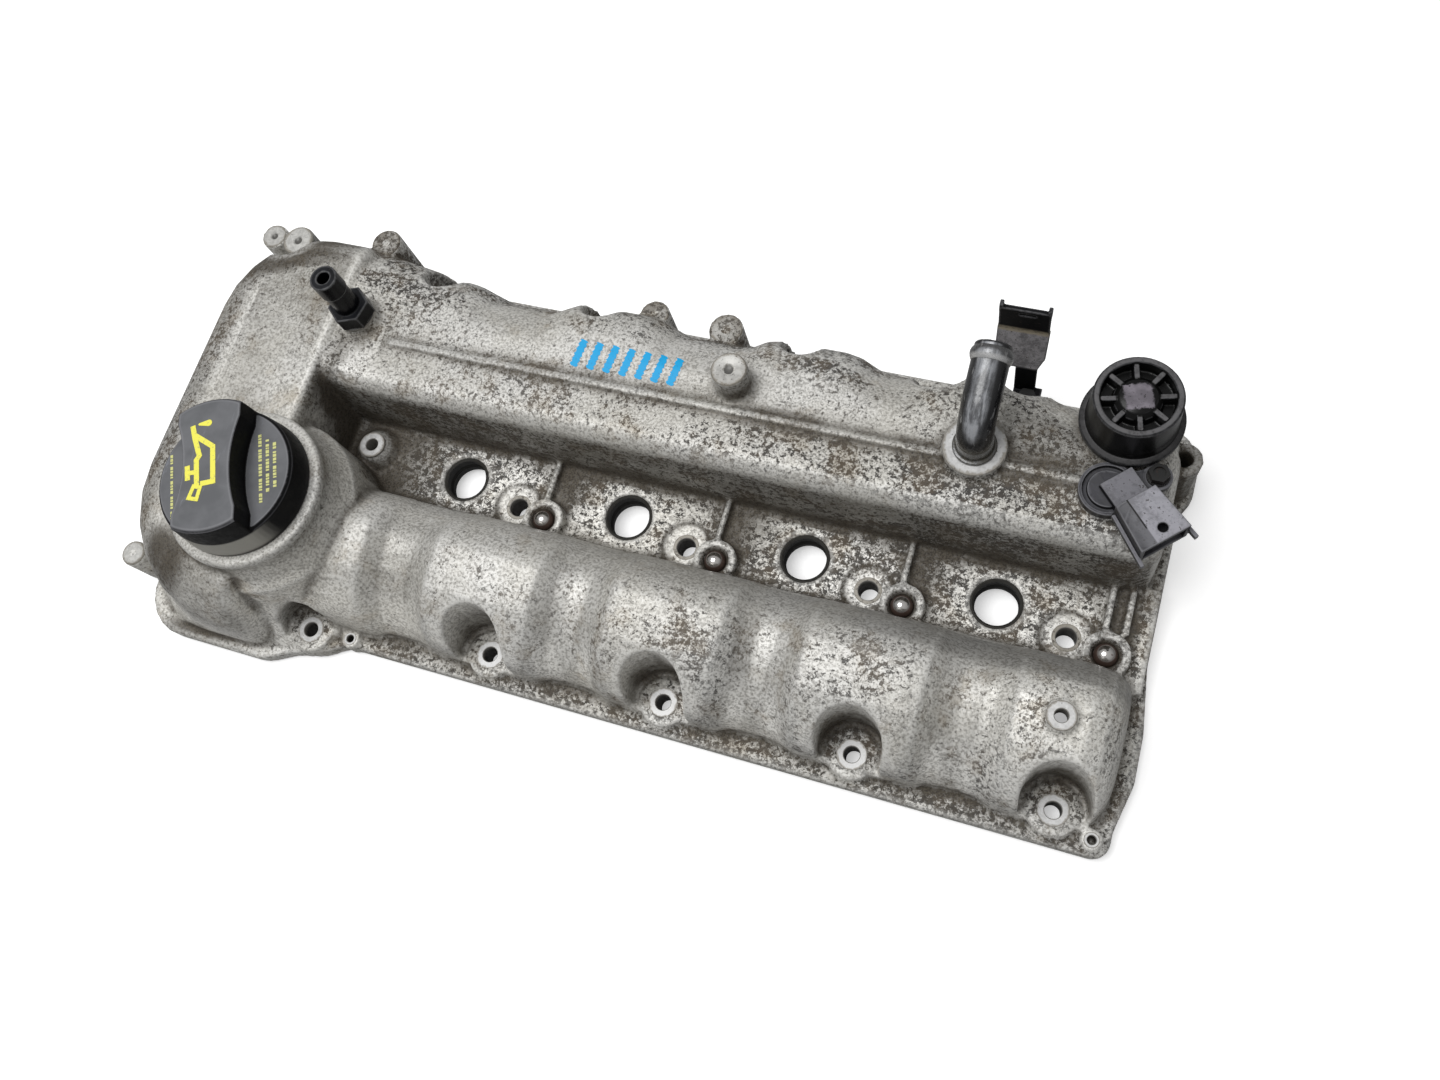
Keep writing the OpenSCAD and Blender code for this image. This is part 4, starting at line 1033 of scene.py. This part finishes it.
def cap_material():
    """Slate grey top, scuffed, and near black walls, the contrast between them being painted light and
    shade; the skirt is painted grey in front as a painted reflection.
    """
    s = Shader("slate_plastic")
    z = s.split(s.place)[2]
    ny, nz = s.split(s.normal)[1:3]
    n = s.noise(420, 3, 0.6)
    cloud = s.noise(60, 3, 0.6)
    scuff = s.noise(240, 4, 0.75, stretch=(1, 0.25, 1))
    # the top lighter and the walls near black: painted light and painted shade
    up = s.ramp(nz, 0.80, 0.97)
    top = s.mix(s.ramp(cloud, 0.35, 0.65), (0.112, 0.115, 0.122), (0.148, 0.151, 0.160))
    top = s.mix(s.ramp(scuff, 0.60, 0.72, 0, 0.6), top, (0.21, 0.22, 0.25))
    # the front of the skirt painted grey: painted reflection
    front = s.times(s.ramp(s.times(ny, -1.0), 0.40, 0.75), s.ramp(z, 0.0850, 0.0835))
    wall = s.mix(front, (0.002, 0.002, 0.0025), (0.360, 0.350, 0.315))
    wall = s.mix(s.times(s.ramp(z, 0.0750, 0.0725), 0.9), wall, (0.006, 0.006, 0.006))
    colour = s.mix(up, wall, top)
    edge = s.times(s.ramp(s.attribute("crest"), 0.35, 0.85), s.ramp(z, 0.084, 0.0855, 0.0, 0.42))
    edge = s.times(edge, s.ramp(nz, 0.25, 0.55))
    colour = s.mix(edge, colour, (0.235, 0.235, 0.250))
    return s.set(colour=colour, rough=s.ramp(n, 0.3, 0.7, 0.42, 0.58), specular=0.14,
                 normal=s.bump(s.noise(1300, 2), 0.25, 0.0001))


# ------------------------------------------------------------------ paint strokes on the rear cover

# half the width and the two ends of each stroke are in pixels of the photograph
STROKE_HALF = 4.3
STROKE_PROUD = 0.12
BLUE_STROKES = tuple(((585 + 16 * i, 340 + 3.2 * i), (573 + 16 * i, 366 + 3.2 * i)) for i in range(7))


def paint_strokes(surface):
    """Strokes of blue marker laid on the casting, seen as short slanted lines from the camera."""
    skin = surface.data
    tree = BVHTree.FromPolygons([v.co for v in skin.vertices], [p.vertices for p in skin.polygons])
    start = Vector(CAMERA_AT)
    right, down, ahead = Vector(CAMERA_RIGHT), Vector(CAMERA_DOWN), Vector(CAMERA_FORWARD)

    def land(px, py):
        sideways = right * (px - PHOTO_CENTRE[0]) / PHOTO_FOCUS
        ray = (sideways + down * (py - PHOTO_CENTRE[1]) / PHOTO_FOCUS + ahead).normalized()
        hit, normal, _, _ = tree.ray_cast(start, ray)
        return hit + normal * STROKE_PROUD * MM

    bm = bmesh.new()
    for stroke in BLUE_STROKES:
        a, b = (Vector(p) for p in stroke)
        steps = int((b - a).length)
        line = [a.lerp(b, i / steps) for i in range(steps + 1)]
        rows = []
        for i, p in enumerate(line):
            d = (line[min(i + 1, len(line) - 1)] - line[max(i - 1, 0)]).normalized()
            m = Vector((-d.y, d.x))
            wobble = 0.85 + 0.25 * math.sin(i * 1.9) * math.sin(i * 0.7)
            half = STROKE_HALF * wobble * (0.6 if i in (0, len(line) - 1) else 1)
            rows.append([bm.verts.new(land(*(p + m * half * t))) for t in (-1, -0.5, 0, 0.5, 1)])
        for p, q in zip(rows, rows[1:]):
            for k in range(4):
                bm.faces.new((p[k], p[k + 1], q[k + 1], q[k]))
    s = Shader("blue_marker")
    n = s.noise(800, 3, 0.7)
    colour = s.mix(s.ramp(n, 0.55, 0.75), (0.0, 0.36, 0.72), (0.01, 0.24, 0.50))
    material = s.set(colour=colour, rough=0.45, normal=s.bump(n, 0.2, 0.00008))
    added("marker_strokes", finished(bm, "marker_strokes"), material)


# ------------------------------------------------------------------ bead of the breather pipe

PIPE_START = (105, 58.41, 82.58)
PIPE_TILT = math.radians(76)
BEAD_STEPS = 72


def pipe_bead(material):
    """Rolled bead near the open end, which holds the clip of a hose: radius and place along the pipe."""
    profile = ((7.30, 13.6), (7.75, 14.3), (8.25, 15.2), (8.55, 16.4), (8.55, 17.5),
               (8.2, 18.5), (7.7, 19.3), (7.3, 19.9), (7.1, 17))
    axis = Vector((0, math.sin(PIPE_TILT), math.cos(PIPE_TILT)))
    u = Vector((1, 0, 0))
    v = axis.cross(u)
    bm = bmesh.new()
    layer = bm.verts.layers.float.new("bead")
    loops = []
    for r, run in profile:
        loop = []
        for i in range(BEAD_STEPS):
            a = 2 * math.pi * i / BEAD_STEPS
            p = Vector(PIPE_START) + axis * run + (u * math.cos(a) + v * math.sin(a)) * r
            vert = bm.verts.new(p * MM)
            vert[layer] = 1.0 if 14.0 < run < 16.0 else 0.12
            loop.append(vert)
        loops.append(loop)
    for p, q in zip(loops, loops[1:] + loops[:1]):
        bridge(bm, p, q)
    added("pipe_bead", finished(bm, "pipe_bead"), material)


# ------------------------------------------------------------------ everything

add_camera()
add_world(level=0.55)
add_lamp("key", at=(-0.35, -0.05, 1.35), aim=(-0.03, 0, 0), size=0.9, watts=13)
add_floor()
surface = cover()
machined_parts()
paint_strokes(surface)
# the numbers are the voxel in millimetres, the rounds of relaxing and the most triangles
moulded("filler_cap", 0.45, 6, 60000, cap_material(), "cap")
print_marks()
VENT_PLASTIC = vent_material()
NIPPLE = dusty("nipple_black", (0.002, 0.0022, 0.003), (0.008, 0.009, 0.012), 0.8, rough=0.24, amount=1.0,
               specular=0.18, worn=0.10)
RUBBER = dusty("rubber", (0.012, 0.012, 0.011), (0.05, 0.045, 0.035), 0.5)
BALL = steel_material("ball_steel", (0.60, 0.58, 0.56), rust_and_dark_reflection=0.95, rough=0.14)
SCREW = steel_material("screw_steel", (0.04, 0.04, 0.04), rust_and_dark_reflection=0.3, rough=0.4)
BARE = steel_material("bare_steel", (0.45, 0.44, 0.42), rust_and_dark_reflection=0.2, rough=0.35)
PIPE = pipe_material()
moulded("breather_pipe", 0.35, 4, 40000, PIPE)
pipe_bead(PIPE)
moulded("hose_nipple", 0.35, 4, 26000, NIPPLE)
moulded("vent_valve_body", 0.40, 4, 36000, VENT_PLASTIC)
moulded("vent_valve_cap", 0.33, 4, 60000, VENT_PLASTIC)
moulded("cam_sensor_body", 0.26, 3, 60000, sensor_material())
moulded("harness_bracket", 0.33, 2, 26000, bracket_material())

# the nodes whose own shape shows
LOOKS = (
    (RUBBER, ("cover_gasket", "injector_seal_1", "injector_seal_2", "injector_seal_3", "injector_seal_4",
              "filler_cap_seal", "vent_valve_diaphragm", "vent_valve_seal", "cam_sensor_seal")),
    (BALL, ("ball_plug_1", "ball_plug_2", "ball_plug_3", "ball_plug_4")),
    (BARE, ("oil_baffle", "baffle_screws", "cam_sensor_bush", "vent_valve_spring", "cam_sensor_pins",
            "nipple_washer")),
    (SCREW, ("cam_sensor_bolt", "bracket_bolt")),
)
for material, nodes in LOOKS:
    for node in nodes:
        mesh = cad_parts[node].data
        mesh.materials.clear()
        mesh.materials.append(material)

bpy.context.scene.view_settings.view_transform = "Standard"
